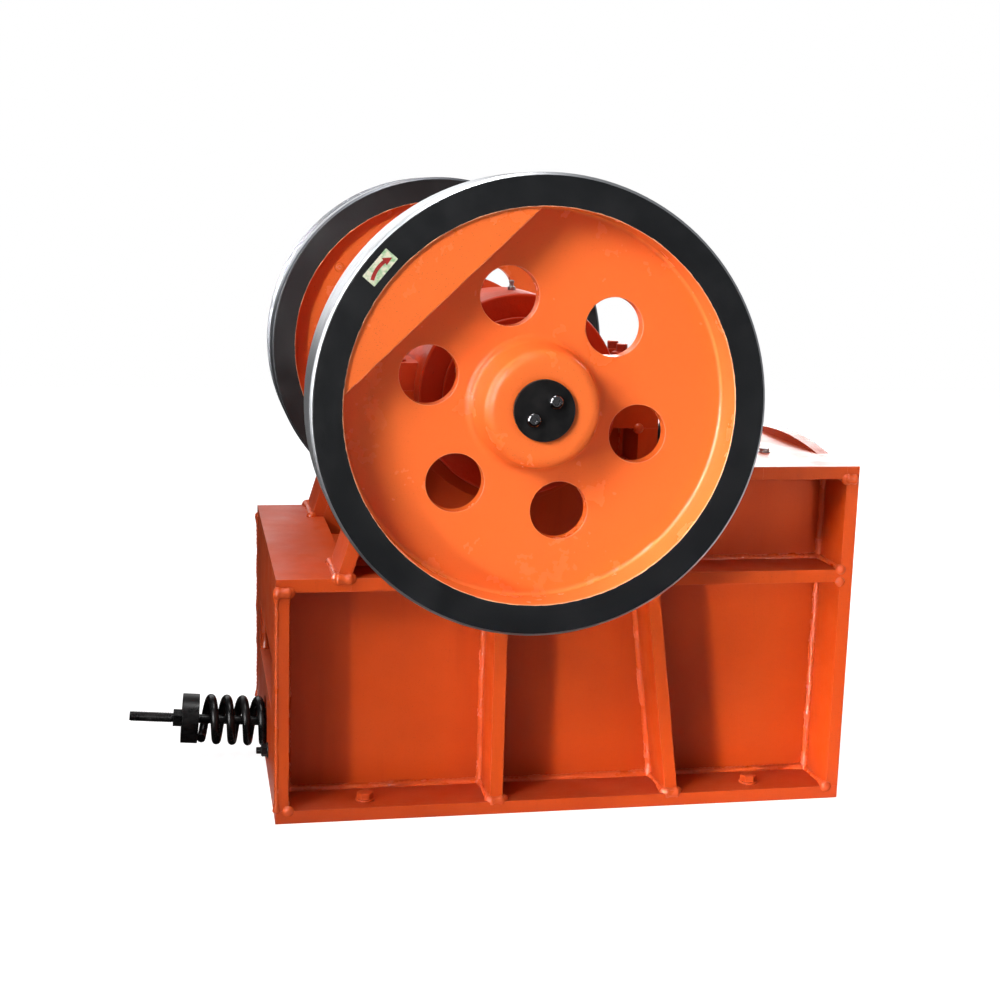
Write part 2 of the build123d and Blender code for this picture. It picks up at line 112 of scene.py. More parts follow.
class Graph:
    """The nodes of a material or a world, with a short call for each kind of node that they use."""

    bevel_samples = 4
    edge_match: Range = (0.82, 0.985)
    corner_open: Range = (0.35, 0.97)

    def __init__(self, owner: Material | bpy.types.World) -> None:
        """Clears the owner's nodes.

        Args:
            owner: What the nodes belong to.
        """
        owner.use_nodes = True
        self.owner = owner
        self.tree = owner.node_tree
        self.tree.nodes.clear()

    @classmethod
    def of_material(cls, name: str) -> "Graph":
        """The nodes of a new material."""
        return cls(bpy.data.materials.new(name))

    def add(self, kind: str, inputs: dict[Any, Any] | None = None, **settings: Any) -> bpy.types.Node:
        """Adds a node and feeds its sockets.

        Args:
            kind: The node's type, without the words ShaderNode.
            inputs: Socket names or numbers, each with a value or another node's socket.
            **settings: Properties of the node itself.

        Returns:
            The new node.
        """
        node = self.tree.nodes.new("ShaderNode" + kind)
        for key, value in settings.items():
            setattr(node, key, value)
        for key, value in (inputs or {}).items():
            if isinstance(value, Socket):
                self.tree.links.new(value, node.inputs[key])
            else:
                node.inputs[key].default_value = value
        return node

    def place(self) -> Socket:
        """The point's place on its own piece, in metres."""
        return self.add("TexCoord").outputs["Object"]

    def axis(self, vector: Socket, number: int) -> Socket:
        """One axis of a vector: 0 for X, 1 for Y and 2 for Z."""
        return self.add("SeparateXYZ", {0: vector}).outputs[number]

    def vector(self, operation: str, first: Any, second: Any = (0.0, 0.0, 0.0)) -> Socket:
        """One step of arithmetic with vectors, such as SUBTRACT or LENGTH."""
        node = self.add("VectorMath", {0: first, 1: second}, operation=operation)
        return node.outputs["Value" if operation in ("LENGTH", "DOT_PRODUCT") else "Vector"]

    def number(self, operation: str, first: Any, second: Any = 0.0) -> Socket:
        """One step of arithmetic with numbers, such as MULTIPLY or MAXIMUM."""
        return self.add("Math", {0: first, 1: second}, operation=operation).outputs[0]

    def remap(self, value: Socket, low: float, high: float, least: float = 0.0, most: float = 1.0) -> Socket:
        """Carries the values from low to high over to least to most, and stops at those two."""
        return self.add("MapRange", {0: value, 1: low, 2: high, 3: least, 4: most}, clamp=True).outputs[0]

    def cloud(self, place: Socket, pattern: Spots) -> Socket:
        """Soft random values about one half.

        Args:
            place: Where the pattern is read.
            pattern: The pattern.

        Returns:
            The values.
        """
        scale = pattern.per_metre
        if isinstance(scale, tuple):
            place, scale = self.vector("MULTIPLY", place, scale), 1.0
        feeds = {"Vector": place, "Scale": scale, "Detail": pattern.detail, "Roughness": pattern.roughness}
        return self.add("TexNoise", feeds).outputs[0]

    def spots(self, place: Socket, pattern: Spots, least: float = 0.0, most: float = 1.0) -> Socket:
        """A pattern's values, carried over from its own two values to least and most."""
        return self.remap(self.cloud(place, pattern), pattern.low, pattern.high, least, most)

    def blend(self, share: Any, first: Any, second: Any) -> Socket:
        """Mixes two colours, with this share of the second one."""
        return self.add("Mix", {0: share, 6: first, 7: second}, data_type="RGBA").outputs[2]

    def blend_value(self, share: Any, first: Any, second: Any) -> Socket:
        """Mixes two numbers, with this share of the second one."""
        return self.add("Mix", {0: share, 2: first, 3: second}, data_type="FLOAT").outputs[0]

    def rounded(self, radius: Any) -> Socket:
        """A normal that rounds sharp edges by a radius."""
        return self.add("Bevel", {"Radius": radius}, samples=self.bevel_samples).outputs[0]

    def edge_share(self, rounded: Socket, most: float) -> Socket:
        """How much a point lies on a sharp edge, where the rounded normal leaves the flat one."""
        match = self.vector("DOT_PRODUCT", rounded, self.add("NewGeometry").outputs["Normal"])
        return self.remap(match, *self.edge_match, most, 0.0)

    def corner_share(self, reach: float, most: float) -> Socket:
        """How much a point lies in an inner corner, which is felt as far as the reach."""
        node = self.add("AmbientOcclusion", {"Distance": reach}, samples=self.bevel_samples)
        return self.remap(node.outputs["AO"], *self.corner_open, most, 0.0)

    def bump(self, height: Socket, depth: float, normal: Socket | None = None) -> Socket:
        """Relief on a normal.

        Args:
            height: The relief, from 0 to 1.
            depth: How deep the relief is.
            normal: The normal under it.

        Returns:
            The new normal.
        """
        feeds = {"Height": height, "Distance": depth}
        if normal is not None:
            feeds["Normal"] = normal
        return self.add("Bump", feeds).outputs[0]

    def finish(self, **feeds: Any) -> Material:
        """Ends the material in one principled shader.

        Args:
            **feeds: The shader's sockets, with underscores for spaces.

        Returns:
            The material.
        """
        named = {key.replace("_", " "): value for key, value in feeds.items()}
        shader = self.add("BsdfPrincipled", named)
        self.add("OutputMaterial", {"Surface": shader.outputs[0]})
        return self.owner


@dataclass(frozen=True)
class Layers:
    """What one coat of a finish gives the shader."""

    colour: Socket
    roughness: Socket
    normal: Socket


@dataclass(frozen=True)
class Enamel:
    """Gloss enamel sprayed over plate or a casting, with its dust, painted shade in its inner corners, and worn
    edges that also carry a painted edge highlight.
    """

    name: str
    colour: Colour
    shade: Colour
    blotches: Spots = Spots(2.4, 4.0, 0.6, 0.38, 0.62)
    blotch_share: float = 0.7
    runs: Spots = Spots((26.0, 26.0, 2.2), 3.0, 0.5, 0.50, 0.68)
    run_share: float = 0.45
    specks: Spots = Spots(420.0, 1.0, 0.5, 0.70, 0.74)
    speck: Colour = (0.10, 0.025, 0.012, 1.0)
    speck_share: float = 0.35
    dusting: Spots = Spots(16.0, 5.0, 0.7, 0.35, 0.7)
    dust: Colour = (0.55, 0.36, 0.27, 1.0)
    dust_share: float = 0.10
    dust_slope: float = 0.5
    chips: Spots = Spots(30.0, 3.0, 0.6, 0.38, 0.62)
    worn: Colour = (0.92, 0.25, 0.12, 1.0)
    edge_wear_highlight_share: float = 0.32
    least_edge_wear_highlight: float = 0.25
    corner_shade: Colour = (0.30, 0.026, 0.006, 1.0)
    corner_shade_share: float = 0.55
    corner_shade_reach: float = 0.085
    gloss: Spots = Spots(11.0, 4.0, 0.65)
    roughness: float = 0.365
    roughness_range: float = 0.075
    specular: float = 0.22
    wave: Spots = Spots(7.0)
    wave_depth: float = 0.0016
    grain: Spots = Spots(95.0, 6.0, 0.62)
    grain_depth: float = 0.0
    peel: Spots = Spots(210.0, 1.5)
    peel_depth: float = 0.00022
    edge_radius: float = 0.0022

    def layers(self, graph: Graph, place: Socket, rounding: Socket | None = None) -> Layers:
        """The coat's colour, roughness and normal.

        Args:
            graph: The material that the coat is in.
            place: The place on the piece.
            rounding: How soft the light takes its edges, where that changes over the piece.

        Returns:
            The three layers.
        """
        tone = graph.number("MAXIMUM", graph.spots(place, self.blotches, 0.0, self.blotch_share),
                            graph.spots(place, self.runs, 0.0, self.run_share))
        colour = graph.blend(tone, self.colour, self.shade)
        colour = graph.blend(graph.spots(place, self.specks, 0.0, self.speck_share), colour, self.speck)
        upward = graph.axis(graph.add("TexCoord").outputs["Normal"], 2)
        lying = graph.remap(upward, self.dust_slope, 1.0, 0.0, self.dust_share)
        settled = graph.number("MULTIPLY", lying, graph.spots(place, self.dusting))
        colour = graph.blend(settled, colour, self.dust)
        # Painted shade: inner corners and recesses are darkened towards a dark red-brown, by how closed-in each
        # point is.
        if self.corner_shade_share:
            colour = graph.blend(graph.corner_share(self.corner_shade_reach, self.corner_shade_share), colour, self.corner_shade)
        rounded = graph.rounded(self.edge_radius)
        # Worn edges and a painted edge highlight: where the rounded normal leaves the flat one, the colour turns
        # to the pale worn tone.
        edge_wear_and_highlight = graph.number("MULTIPLY", graph.edge_share(rounded, self.edge_wear_highlight_share),
                                 graph.spots(place, self.chips, self.least_edge_wear_highlight, 1.0))
        colour = graph.blend(edge_wear_and_highlight, colour, self.worn)
        rough = graph.spots(place, self.gloss, self.roughness - self.roughness_range,
                            self.roughness + self.roughness_range)
        if rounding is not None:
            rounded = graph.rounded(rounding)
        normal = graph.bump(graph.cloud(place, self.wave), self.wave_depth, rounded)
        if self.grain_depth:
            normal = graph.bump(graph.cloud(place, self.grain), self.grain_depth, normal)
        normal = graph.bump(graph.cloud(place, self.peel), self.peel_depth, normal)
        return Layers(colour, graph.number("ADD", rough, settled), normal)

    def make(self) -> Material:
        """The finished material.

        Returns:
            The material.
        """
        graph = Graph.of_material(self.name)
        coat = self.layers(graph, graph.place())
        return graph.finish(Base_Color=coat.colour, Roughness=coat.roughness, Normal=coat.normal,
                            Specular_IOR_Level=self.specular)


@dataclass(frozen=True)
class WheelFinish:
    """Orange enamel inside the rim, with a painted highlight on the recess wall and along its lip, black enamel on
    its two faces and bare turned steel round it.
    """

    name: str
    enamel: Enamel
    axis: Range
    rim_inside: float
    tread_start: float
    middle_y: float
    half_width: float
    skim: float
    step: float = 0.0003
    wall: Colour = (1.0, 0.25, 0.055, 1.0)
    wall_highlight_share: float = 0.85
    wall_fade: Range = (0.006, 0.002)
    lip_highlight: Colour = (1.0, 0.46, 0.24, 1.0)
    lip_width: float = 0.003
    lip_fade: float = 0.001
    hub_reach: float = 0.138
    hub_fade: float = 0.006
    hub_rounding: float = 0.026
    smudges: Spots = Spots(9.0, 5.0, 0.7, 0.42, 0.66)
    black: Colour = (0.0045, 0.0052, 0.0065, 1.0)
    rubbed: Colour = (0.010, 0.010, 0.012, 1.0)
    rubbed_share: float = 0.5
    black_roughness: Range = (0.34, 0.48)
    wander: Spots = Spots(60.0, 3.0)
    wander_width: float = 0.0012
    bare_from_rim: Range = (0.02, 0.021)
    lines: Spots = Spots((7.0, 950.0, 7.0), 4.0, 0.65)
    line_share: float = 0.5
    line_depth: float = 0.00018
    steel: Colour = (0.72, 0.74, 0.77, 1.0)
    worn_steel: Colour = (0.32, 0.325, 0.335, 1.0)
    steel_roughness: Range = (0.26, 0.42)
    stains: Spots = Spots((9.0, 30.0, 9.0), 5.0, 0.7, 0.55, 0.75)
    rust: Colour = (0.20, 0.13, 0.09, 1.0)
    stain_share: float = 0.5
    stain_roughness: float = 0.4
    specular: float = 0.5

    @classmethod
    def of_node(cls, name: str, node: str, enamel: Enamel, place: "Layout",
                **steels: Colour) -> "WheelFinish":
        """The zones of one flywheel's finish.

        Args:
            name: The material's name.
            node: The flywheel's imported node.
            enamel: The coat inside the rim.
            place: The crusher's layout.
            **steels: The tones of its bare steel, where they differ from the usual ones.

        Returns:
            The finish.
        """
        low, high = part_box(node)
        radius = (high.x - low.x) / 2
        skim = 0.0004
        return cls(name, enamel, (place.shaft_x, place.shaft_z), radius - place.rim_wall, radius - skim,
                   (low.y + high.y) / 2, (high.y - low.y) / 2, skim, **steels)

    def make(self) -> Material:
        """The finished material.

        Returns:
            The material.
        """
        graph = Graph.of_material(self.name)
        place = graph.place()
        arm = graph.vector("SUBTRACT", place, (self.axis[0], 0.0, self.axis[1]))
        radius = graph.vector("LENGTH", graph.vector("MULTIPLY", arm, (1.0, 0.0, 1.0)))
        along = graph.number("SUBTRACT", graph.axis(place, 1), self.middle_y)
        from_middle = graph.number("ABSOLUTE", along)
        inner, face = self.rim_inside, self.half_width

        rounding = graph.remap(radius, self.hub_reach - self.hub_fade, self.hub_reach, self.hub_rounding,
                               self.enamel.edge_radius)
        coat = self.enamel.layers(graph, place, rounding)
        paint_edge = graph.number("SUBTRACT", radius, graph.spots(place, self.wander, 0.0, self.wander_width))
        on_rim = graph.remap(paint_edge, inner + self.step, inner + self.step * 2)
        on_wall = graph.remap(radius, inner - self.wall_fade[0], inner - self.wall_fade[1])
        at_lip = graph.remap(from_middle, face - self.lip_width - self.lip_fade, face - self.lip_width)
        on_lip_highlight = graph.number("MULTIPLY", on_wall, at_lip)
        within = graph.remap(from_middle, face - self.skim - self.step, face - self.skim, 1.0, 0.0)
        far_out = graph.remap(radius, *(inner + margin for margin in self.bare_from_rim))
        outside = graph.remap(radius, self.tread_start, self.tread_start + self.step)
        bare = graph.number("MAXIMUM", graph.number("MULTIPLY", within, far_out), outside)

        smudge = graph.spots(place, self.smudges)
        black = graph.blend(graph.number("MULTIPLY", smudge, self.rubbed_share), self.black, self.rubbed)
        lines = graph.cloud(arm, self.lines)
        cut = self.lines.low, self.lines.high
        steel = graph.blend(graph.remap(lines, *cut, 0.0, self.line_share), self.steel, self.worn_steel)
        stain = graph.spots(arm, self.stains, 0.0, self.stain_share)
        steel = graph.blend(stain, steel, self.rust)

        # Painted highlight: the recess wall inside the rim is painted a lighter orange, for the strong light it
        # catches.
        colour = graph.blend(graph.number("MULTIPLY", on_wall, self.wall_highlight_share), coat.colour, self.wall)
        # Painted highlight: a thin pale line along the recess's lip next to the rim's black face.
        colour = graph.blend(on_lip_highlight, colour, self.lip_highlight)
        colour = graph.blend(on_rim, colour, black)
        colour = graph.blend(bare, colour, steel)
        black_rough = graph.remap(smudge, 0.0, 1.0, *self.black_roughness)
        rough = graph.blend_value(on_rim, coat.roughness, black_rough)
        steel_rough = graph.number("ADD", graph.remap(lines, *cut, *self.steel_roughness),
                                   graph.number("MULTIPLY", stain, self.stain_roughness))
        rough = graph.blend_value(bare, rough, steel_rough)
        normal = graph.bump(graph.number("MULTIPLY", lines, bare), self.line_depth, coat.normal)
        return graph.finish(Base_Color=colour, Roughness=rough, Normal=normal, Metallic=bare,
                            Specular_IOR_Level=self.specular)


@dataclass(frozen=True)
class BlackCoat:
    """Thick black enamel over steel, with a few smudges."""

    name: str
    roughness: float
    roughness_range: float = 0.22
    smudges: Spots = Spots(22.0, 5.0, 0.7, 0.42, 0.68)
    colour: Colour = (0.003, 0.003, 0.0035, 1.0)
    worn: Colour = (0.010, 0.009, 0.009, 1.0)
    chips: Spots = Spots(70.0, 4.0, 0.7, 0.42, 0.60)
    rubbed: Colour = (0.16, 0.16, 0.165, 1.0)
    rubbed_share: float = 0.55
    specular: float = 0.25
    grain: Spots = Spots(320.0, 3.0)
    grain_depth: float = 0.0002
    edge_radius: float = 0.0012

    def make(self) -> Material:
        """The finished material.

        Returns:
            The material.
        """
        graph = Graph.of_material(self.name)
        place = graph.place()
        smudge = graph.spots(place, self.smudges)
        rounded = graph.rounded(self.edge_radius)
        # Rubbed edges and a painted edge highlight: sharp edges turn a lighter grey.
        edge_wear_and_highlight = graph.number("MULTIPLY", graph.edge_share(rounded, self.rubbed_share),
                                 graph.spots(place, self.chips))
        colour = graph.blend(edge_wear_and_highlight, graph.blend(smudge, self.colour, self.worn), self.rubbed)
        rough = graph.remap(smudge, 0.0, 1.0, self.roughness, self.roughness + self.roughness_range)
        normal = graph.bump(graph.cloud(place, self.grain), self.grain_depth, rounded)
        return graph.finish(Base_Color=colour, Roughness=rough, Normal=normal,
                            Specular_IOR_Level=self.specular)


@dataclass(frozen=True)
class TurnedSteel:
    """Bare steel with the fine rings of a lathe across the shaft's axis."""

    name: str
    colour: Colour = (0.42, 0.43, 0.44, 1.0)
    oil: Colour = (0.16, 0.14, 0.12, 1.0)
    lines: Spots = Spots((8.0, 1100.0, 8.0), 3.0, 0.6)
    line_depth: float = 0.00012
    film: Spots = Spots(18.0, 5.0, 0.65, 0.48, 0.70)
    film_share: float = 0.7
    film_roughness: float = 0.25
    roughness: float = 0.22
    roughest: float = 1.6
    edge_radius: float = 0.001

    def make(self) -> Material:
        """The finished material.

        Returns:
            The material.
        """
        graph = Graph.of_material(self.name)
        place = graph.place()
        lines = graph.cloud(place, self.lines)
        film = graph.spots(place, self.film, 0.0, self.film_share)
        rings = graph.remap(lines, self.lines.low, self.lines.high, self.roughness,
                            self.roughness * self.roughest)
        rough = graph.number("ADD", rings, graph.number("MULTIPLY", film, self.film_roughness))
        return graph.finish(Base_Color=graph.blend(film, self.colour, self.oil), Roughness=rough,
                            Normal=graph.bump(lines, self.line_depth, graph.rounded(self.edge_radius)),
                            Metallic=1.0)


@dataclass(frozen=True)
class CastSteel:
    """Dark as-cast manganese steel with a sandy skin."""

    name: str
    skin: Spots = Spots(130.0, 6.0, 0.65)
    skin_cut: Range = (0.35, 0.65)
    skin_roughness: Range = (0.46, 0.62)
    skin_depth: float = 0.0011
    colour: Colour = (0.105, 0.098, 0.094, 1.0)
    scale: Colour = (0.055, 0.050, 0.048, 1.0)
    bloom: Spots = Spots(13.0, 6.0, 0.72, 0.54, 0.72)
    rust: Colour = (0.17, 0.075, 0.035, 1.0)
    rust_share: float = 0.55
    rust_roughness: float = 0.25
    wave: Spots = Spots(14.0, 3.0)
    wave_depth: float = 0.0012
    edge_radius: float = 0.0025
    metallic: float = 0.35

    def make(self) -> Material:
        """The finished material.

        Returns:
            The material.
        """
        graph = Graph.of_material(self.name)
        place = graph.place()
        skin = graph.cloud(place, self.skin)
        colour = graph.blend(graph.remap(skin, *self.skin_cut), self.colour, self.scale)
        bloom = graph.spots(place, self.bloom, 0.0, self.rust_share)
        colour = graph.blend(bloom, colour, self.rust)
        sandy = graph.remap(skin, self.skin.low, self.skin.high, *self.skin_roughness)
        rough = graph.number("ADD", sandy, graph.number("MULTIPLY", bloom, self.rust_roughness))
        normal = graph.bump(graph.cloud(place, self.wave), self.wave_depth, graph.rounded(self.edge_radius))
        normal = graph.bump(skin, self.skin_depth, normal)
        return graph.finish(Base_Color=colour, Roughness=rough, Normal=normal, Metallic=self.metallic)


@dataclass(frozen=True)
class Foil:
    """The thin printed foil of the turning mark."""

    name: str
    colour: Colour
    shade: Colour
    fading: Spots = Spots(95.0, 3.0, 0.6, 0.42, 0.62)
    roughness: Range = (0.3, 0.45)
    creases: Spots = Spots(110.0)
    crease_depth: float = 0.0003

    def make(self) -> Material:
        """The finished material.

        Returns:
            The material.
        """
        graph = Graph.of_material(self.name)
        place = graph.place()
        fade = graph.spots(place, self.fading)
        return graph.finish(Base_Color=graph.blend(fade, self.colour, self.shade),
                            Roughness=graph.remap(fade, 0.0, 1.0, *self.roughness),
                            Normal=graph.bump(graph.cloud(place, self.creases), self.crease_depth))


@dataclass(frozen=True)
class Finishes:
    """Every material of the crusher, made once."""

    frame: Material
    weld: Material
    housing: Material
    jaw: Material
    plain_wheel: Material
    grooved_wheel: Material
    black_paint: Material
    black_steel: Material
    cap_bolt: Material
    bare_steel: Material
    manganese: Material
    foil: Material
    arrow: Material

    @classmethod
    def make(cls, place: "Layout") -> "Finishes":
        """Makes the materials.

        Args:
            place: The crusher's layout.

        Returns:
            The finishes.
        """
        # On the wheels every edge, the hole walls included, takes the pale edge tone in full: a painted edge
        # highlight.
        wheel = Enamel("wheel_enamel", (0.94, 0.171, 0.029, 1.0), (0.937, 0.168, 0.0285, 1.0),
                       grain_depth=0.0002, wave_depth=0.0009, dust_share=0.0, worn=(1.0, 0.45, 0.28, 1.0),
                       edge_wear_highlight_share=0.6, least_edge_wear_highlight=1.0, edge_radius=0.0034, corner_shade_share=0.0, roughness=0.265,
                       roughness_range=0.015)
        return cls(
            frame=Enamel("frame_enamel", (0.62, 0.070, 0.0075, 1.0), (0.50, 0.049, 0.0055, 1.0)).make(),
            weld=Enamel("weld_enamel", (0.68, 0.092, 0.017, 1.0), (0.56, 0.062, 0.010, 1.0),
                        grain_depth=0.0004, edge_wear_highlight_share=0.0, corner_shade_share=0.15, roughness=0.265,
                        specular=0.4).make(),
            housing=Enamel("housing_enamel", (0.66, 0.058, 0.011, 1.0), (0.50, 0.038, 0.008, 1.0),
                           grain_depth=0.0009, wave=Spots(16.0)).make(),
            jaw=Enamel("jaw_enamel", (0.55, 0.066, 0.018, 1.0), (0.40, 0.040, 0.011, 1.0),
                       grain_depth=0.0016, wave=Spots(12.0)).make(),
            plain_wheel=WheelFinish.of_node("plain_wheel_finish", "plain_flywheel", wheel, place).make(),
            # Painted shade: the far wheel's bare steel is written darker than the near wheel's, though both are
            # the same turned steel.
            grooved_wheel=WheelFinish.of_node("grooved_wheel_finish", "grooved_flywheel", wheel, place,
                                              steel=(0.31, 0.32, 0.35, 1.0),
                                              worn_steel=(0.15, 0.155, 0.17, 1.0)).make(),
            black_paint=BlackCoat("black_enamel", 0.38).make(),
            black_steel=BlackCoat("black_spring_coat", 0.24).make(),
            cap_bolt=TurnedSteel("cap_bolt_steel", (0.20, 0.20, 0.21, 1.0), (0.10, 0.095, 0.09, 1.0),
                                 roughness=0.09, film_share=0.1).make(),
            bare_steel=TurnedSteel("turned_steel").make(),
            manganese=CastSteel("manganese_casting").make(),
            foil=Foil("mark_foil", (0.74, 0.72, 0.56, 1.0), (0.30, 0.52, 0.27, 1.0)).make(),
            arrow=Foil("mark_arrow_ink", (0.42, 0.022, 0.016, 1.0), (0.30, 0.016, 0.012, 1.0)).make(),
        )

    def dress_nodes(self) -> None:
        """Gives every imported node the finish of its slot."""
        by_slot = {
            Slot.FRAME_PAINT: self.frame,
            Slot.WHEEL_PAINT: self.plain_wheel,
            Slot.HOUSING_PAINT: self.housing,
            Slot.BLACK_PAINT: self.black_paint,
            Slot.BLACK_STEEL: self.black_steel,
            Slot.BARE_STEEL: self.bare_steel,
            Slot.MANGANESE_STEEL: self.manganese,
            Slot.JAW_PAINT: self.jaw,
        }
        for row in frame["record"]["subparts"]:
            node = frame["nodes"][row["node"]]
            material = by_slot[Slot(row["material_slot"])]
            if row["node"] == "grooved_flywheel":
                material = self.grooved_wheel
            node.data.materials.clear()
            node.data.materials.append(material)
            log.info("%s wears %s", row["node"], material.name)


@dataclass(frozen=True)
class Layout:
    """Places on the crusher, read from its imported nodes."""

    shaft_x: float
    shaft_z: float
    rear_x: float
    front_x: float
    side_y: float
    plate_y: float
    inner_y: float
    base_top: float
    deck_floor: float
    deck_top: float
    top_floor: float
    top: float
    plate: float
    rim_wall: float = 0.060

    @classmethod
    def read(cls) -> "Layout":
        """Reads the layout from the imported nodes.

        Returns:
            The layout.
        """
        spin = next(joint for joint in frame["joints"] if joint["name"] == "shaft_spin")
        base_low, base_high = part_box("near_base_flange")
        mid_low, mid_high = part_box("near_mid_flange")
        top_low, top_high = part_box("near_top_flange")
        plate_low, plate_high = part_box("near_side_plate")
        return cls(
            shaft_x=spin["pos_m"][0],
            shaft_z=spin["pos_m"][2],
            rear_x=base_low.x,
            front_x=base_high.x,
            side_y=-base_low.y,
            plate_y=-plate_low.y,
            inner_y=-plate_high.y,
            base_top=base_high.z,
            deck_floor=mid_low.z,
            deck_top=mid_high.z,
            top_floor=top_low.z,
            top=top_high.z,
            plate=base_high.z - base_low.z,
        )

    def from_shaft(self, point: Vector) -> float:
        """How far a point is from the shaft's axis."""
        return math.hypot(point.x - self.shaft_x, point.z - self.shaft_z)

    def round_shaft(self, radius: float, angle: float, y: float) -> Vector:
        """The point at a radius and an angle about the shaft's axis."""
        return Vector((self.shaft_x + radius * math.cos(angle), y, self.shaft_z + radius * math.sin(angle)))


def points_of(node: str) -> list[Vector]:
    """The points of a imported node."""
    return [vertex.co for vertex in frame["nodes"][node].data.vertices]


def middle_of(points: Sequence[Vector]) -> Vector:
    """The mean of some points."""
    return sum(points, Vector()) / len(points)


def outer_y(node: str, side: Side) -> float:
    """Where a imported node's outer face stands on its side."""
    low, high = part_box(node)
    return low.y if side is Side.NEAR else high.y


def at_y(spot: Range, y: float) -> Vector:
    """The point with this X and Z at a place across the crusher."""
    return Vector((spot[0], y, spot[1]))


def seat(place: Vector, direction: Vector, turn: float = 0.0) -> Matrix:
    """A local frame whose Z axis points along a direction, turned about it by some radians."""
    aim = direction.to_track_quat("Z", "Y").to_matrix().to_4x4()
    return Matrix.Translation(place) @ aim @ Matrix.Rotation(turn, 4, "Z")


def circle(radius: float, height: float, sides: int) -> Ring:
    """A ring of points about the local Z axis."""
    step = math.tau / sides
    return [Vector((radius * math.cos(step * n), radius * math.sin(step * n), height)) for n in range(sides)]


def hexagon(apothem: float, height: float, sides: int) -> Ring:
    """A ring of points along a hexagon about the local Z axis.

    Args:
        apothem: Half the width across its flats.
        height: The ring's height.
        sides: How many points it has, a multiple of six.

    Returns:
        The points.
    """
    sixth = math.pi / 3
    ring = []
    for point in circle(1.0, 0.0, sides):
        off_flat = (math.atan2(point.y, point.x) + sixth / 2) % sixth - sixth / 2
        reach = apothem / math.cos(off_flat)
        ring.append(Vector((point.x * reach, point.y * reach, height)))
    return ring


class Shape:
    """Points and faces that become one piece."""

    def __init__(self) -> None:
        """Starts with nothing."""
        self.points: list[Vector] = []
        self.faces: list[tuple[int, ...]] = []

    def skin(self, rings: Sequence[Ring], at: Matrix = Matrix.Identity(4)) -> None:
        """Joins rings of equal count, each to the next, and closes both ends.

        Args:
            rings: The rings, in order along their axis.
            at: The local frame that the rings are in.
        """
        start = len(self.points)
        count = len(rings[0])
        for ring in rings:
            self.points.extend(at @ point for point in ring)
        for row in range(len(rings) - 1):
            for number in range(count):
                here = start + row * count + number
                after = start + row * count + (number + 1) % count
                self.faces.append((here, after, after + count, here + count))
        last = start + (len(rings) - 1) * count
        self.faces.append(tuple(start + number for number in reversed(range(count))))
        self.faces.append(tuple(last + number for number in range(count)))

    def turned(self, profile: Sequence[Range], at: Matrix, sides: int = 32) -> None:
        """Adds a turned body from pairs of radius and height, from the foot up."""
        self.skin([circle(radius, height, sides) for radius, height in profile], at)

    def slab(self, outline: Sequence[Vector], thickness: Vector) -> None:
        """Adds a flat body from an outline, counter-clockwise as seen from the thickness's tip."""
        self.skin([list(outline), [corner + thickness for corner in outline]])

    def piece(self, name: str, material: Material, body: Body, slot: Slot, crease: float = 32.0) -> None:
        """Turns what was collected into a piece on one body.

        Args:
            name: The piece's name.
            material: Its finish.
            body: The body that it rides on.
            slot: The record's slot of its finish; not used.
            crease: The angle in degrees above which an edge stays sharp.
        """
        mesh = bpy.data.meshes.new(name)
        mesh.from_pydata([tuple(point) for point in self.points], [], self.faces)
        mesh.update()
        mesh.shade_smooth()
        mesh.set_sharp_from_angle(angle=math.radians(crease))
        mesh.materials.append(material)
        made = bpy.data.objects.new(name, mesh)
        bpy.context.scene.collection.objects.link(made)
        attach(made, body.value)
        log.info("%s: %d faces on %s", name, len(self.faces), body.value)


@dataclass(frozen=True)
class Bolt:
    """A hexagon head or nut, with its washer and the end of its stud."""

    across_flats: float
    head_height: float
    washer_radius: float = 0.0
    washer_thickness: float = 0.003
    washer_edge: float = 0.2
    stud_radius: float = 0.0
    stud_reach: float = 0.0
    stud_sides: int = 24
    thread_pitch: float = 0.0025
    thread_depth: float = 0.45
    thread_crest: Range = (0.4, 0.55)
    thread_tip: Range = (0.4, 0.3)
    points_per_flat: int = 4
    top_share: float = 0.95
    chamfer_share: float = 0.58

    def add_to(self, shape: Shape, place: Vector, direction: Vector, turn: float) -> None:
        """Adds the bolt to a shape.

        Args:
            shape: The shape.
            place: Where the bolt bears on its seat.
            direction: Where it points.
            turn: The turn of its flats, in radians.
        """
        at = seat(place, direction, turn)
        foot = 0.0
        if self.washer_radius:
            foot, rim = self.washer_thickness, self.washer_radius
            edge = foot * self.washer_edge
            shape.turned([(rim, 0.0), (rim, foot - edge), (rim - edge, foot)], at)
        shape.skin(self.head_rings(foot), at)
        if self.stud_radius:
            shape.turned(self.thread_profile(foot + self.head_height), at, self.stud_sides)

    def head_rings(self, foot: float) -> list[Ring]:
        """The rings of the chamfered hexagon.

        Args:
            foot: The height of its underside.

        Returns:
            The rings.
        """
        count = 6 * self.points_per_flat
        top = foot + self.head_height
        top_radius = self.across_flats / 2 * self.top_share
        low = hexagon(self.across_flats / 2, foot, count)
        side = []
        for point in low:
            drop = (point.xy.length - top_radius) * self.chamfer_share
            side.append(Vector((point.x, point.y, top - drop)))
        return [low, side, circle(top_radius, top, count)]

    def thread_profile(self, foot: float) -> list[Range]:
        """The ridged profile of the stud above the nut.

        Args:
            foot: The height of the nut's top.

        Returns:
            Pairs of radius and height.
        """
        pitch = self.thread_pitch
        root = self.stud_radius - pitch * self.thread_depth
        turns = max(1, int(self.stud_reach / pitch))
        profile = [(root, foot)]
        for number in range(turns):
            start = foot + pitch * number
            profile += [(self.stud_radius, start + pitch * share) for share in self.thread_crest]
            profile.append((root, start + pitch))
        inward, upward = self.thread_tip
        profile.append((root - pitch * inward, foot + pitch * (turns + upward)))
        return profile


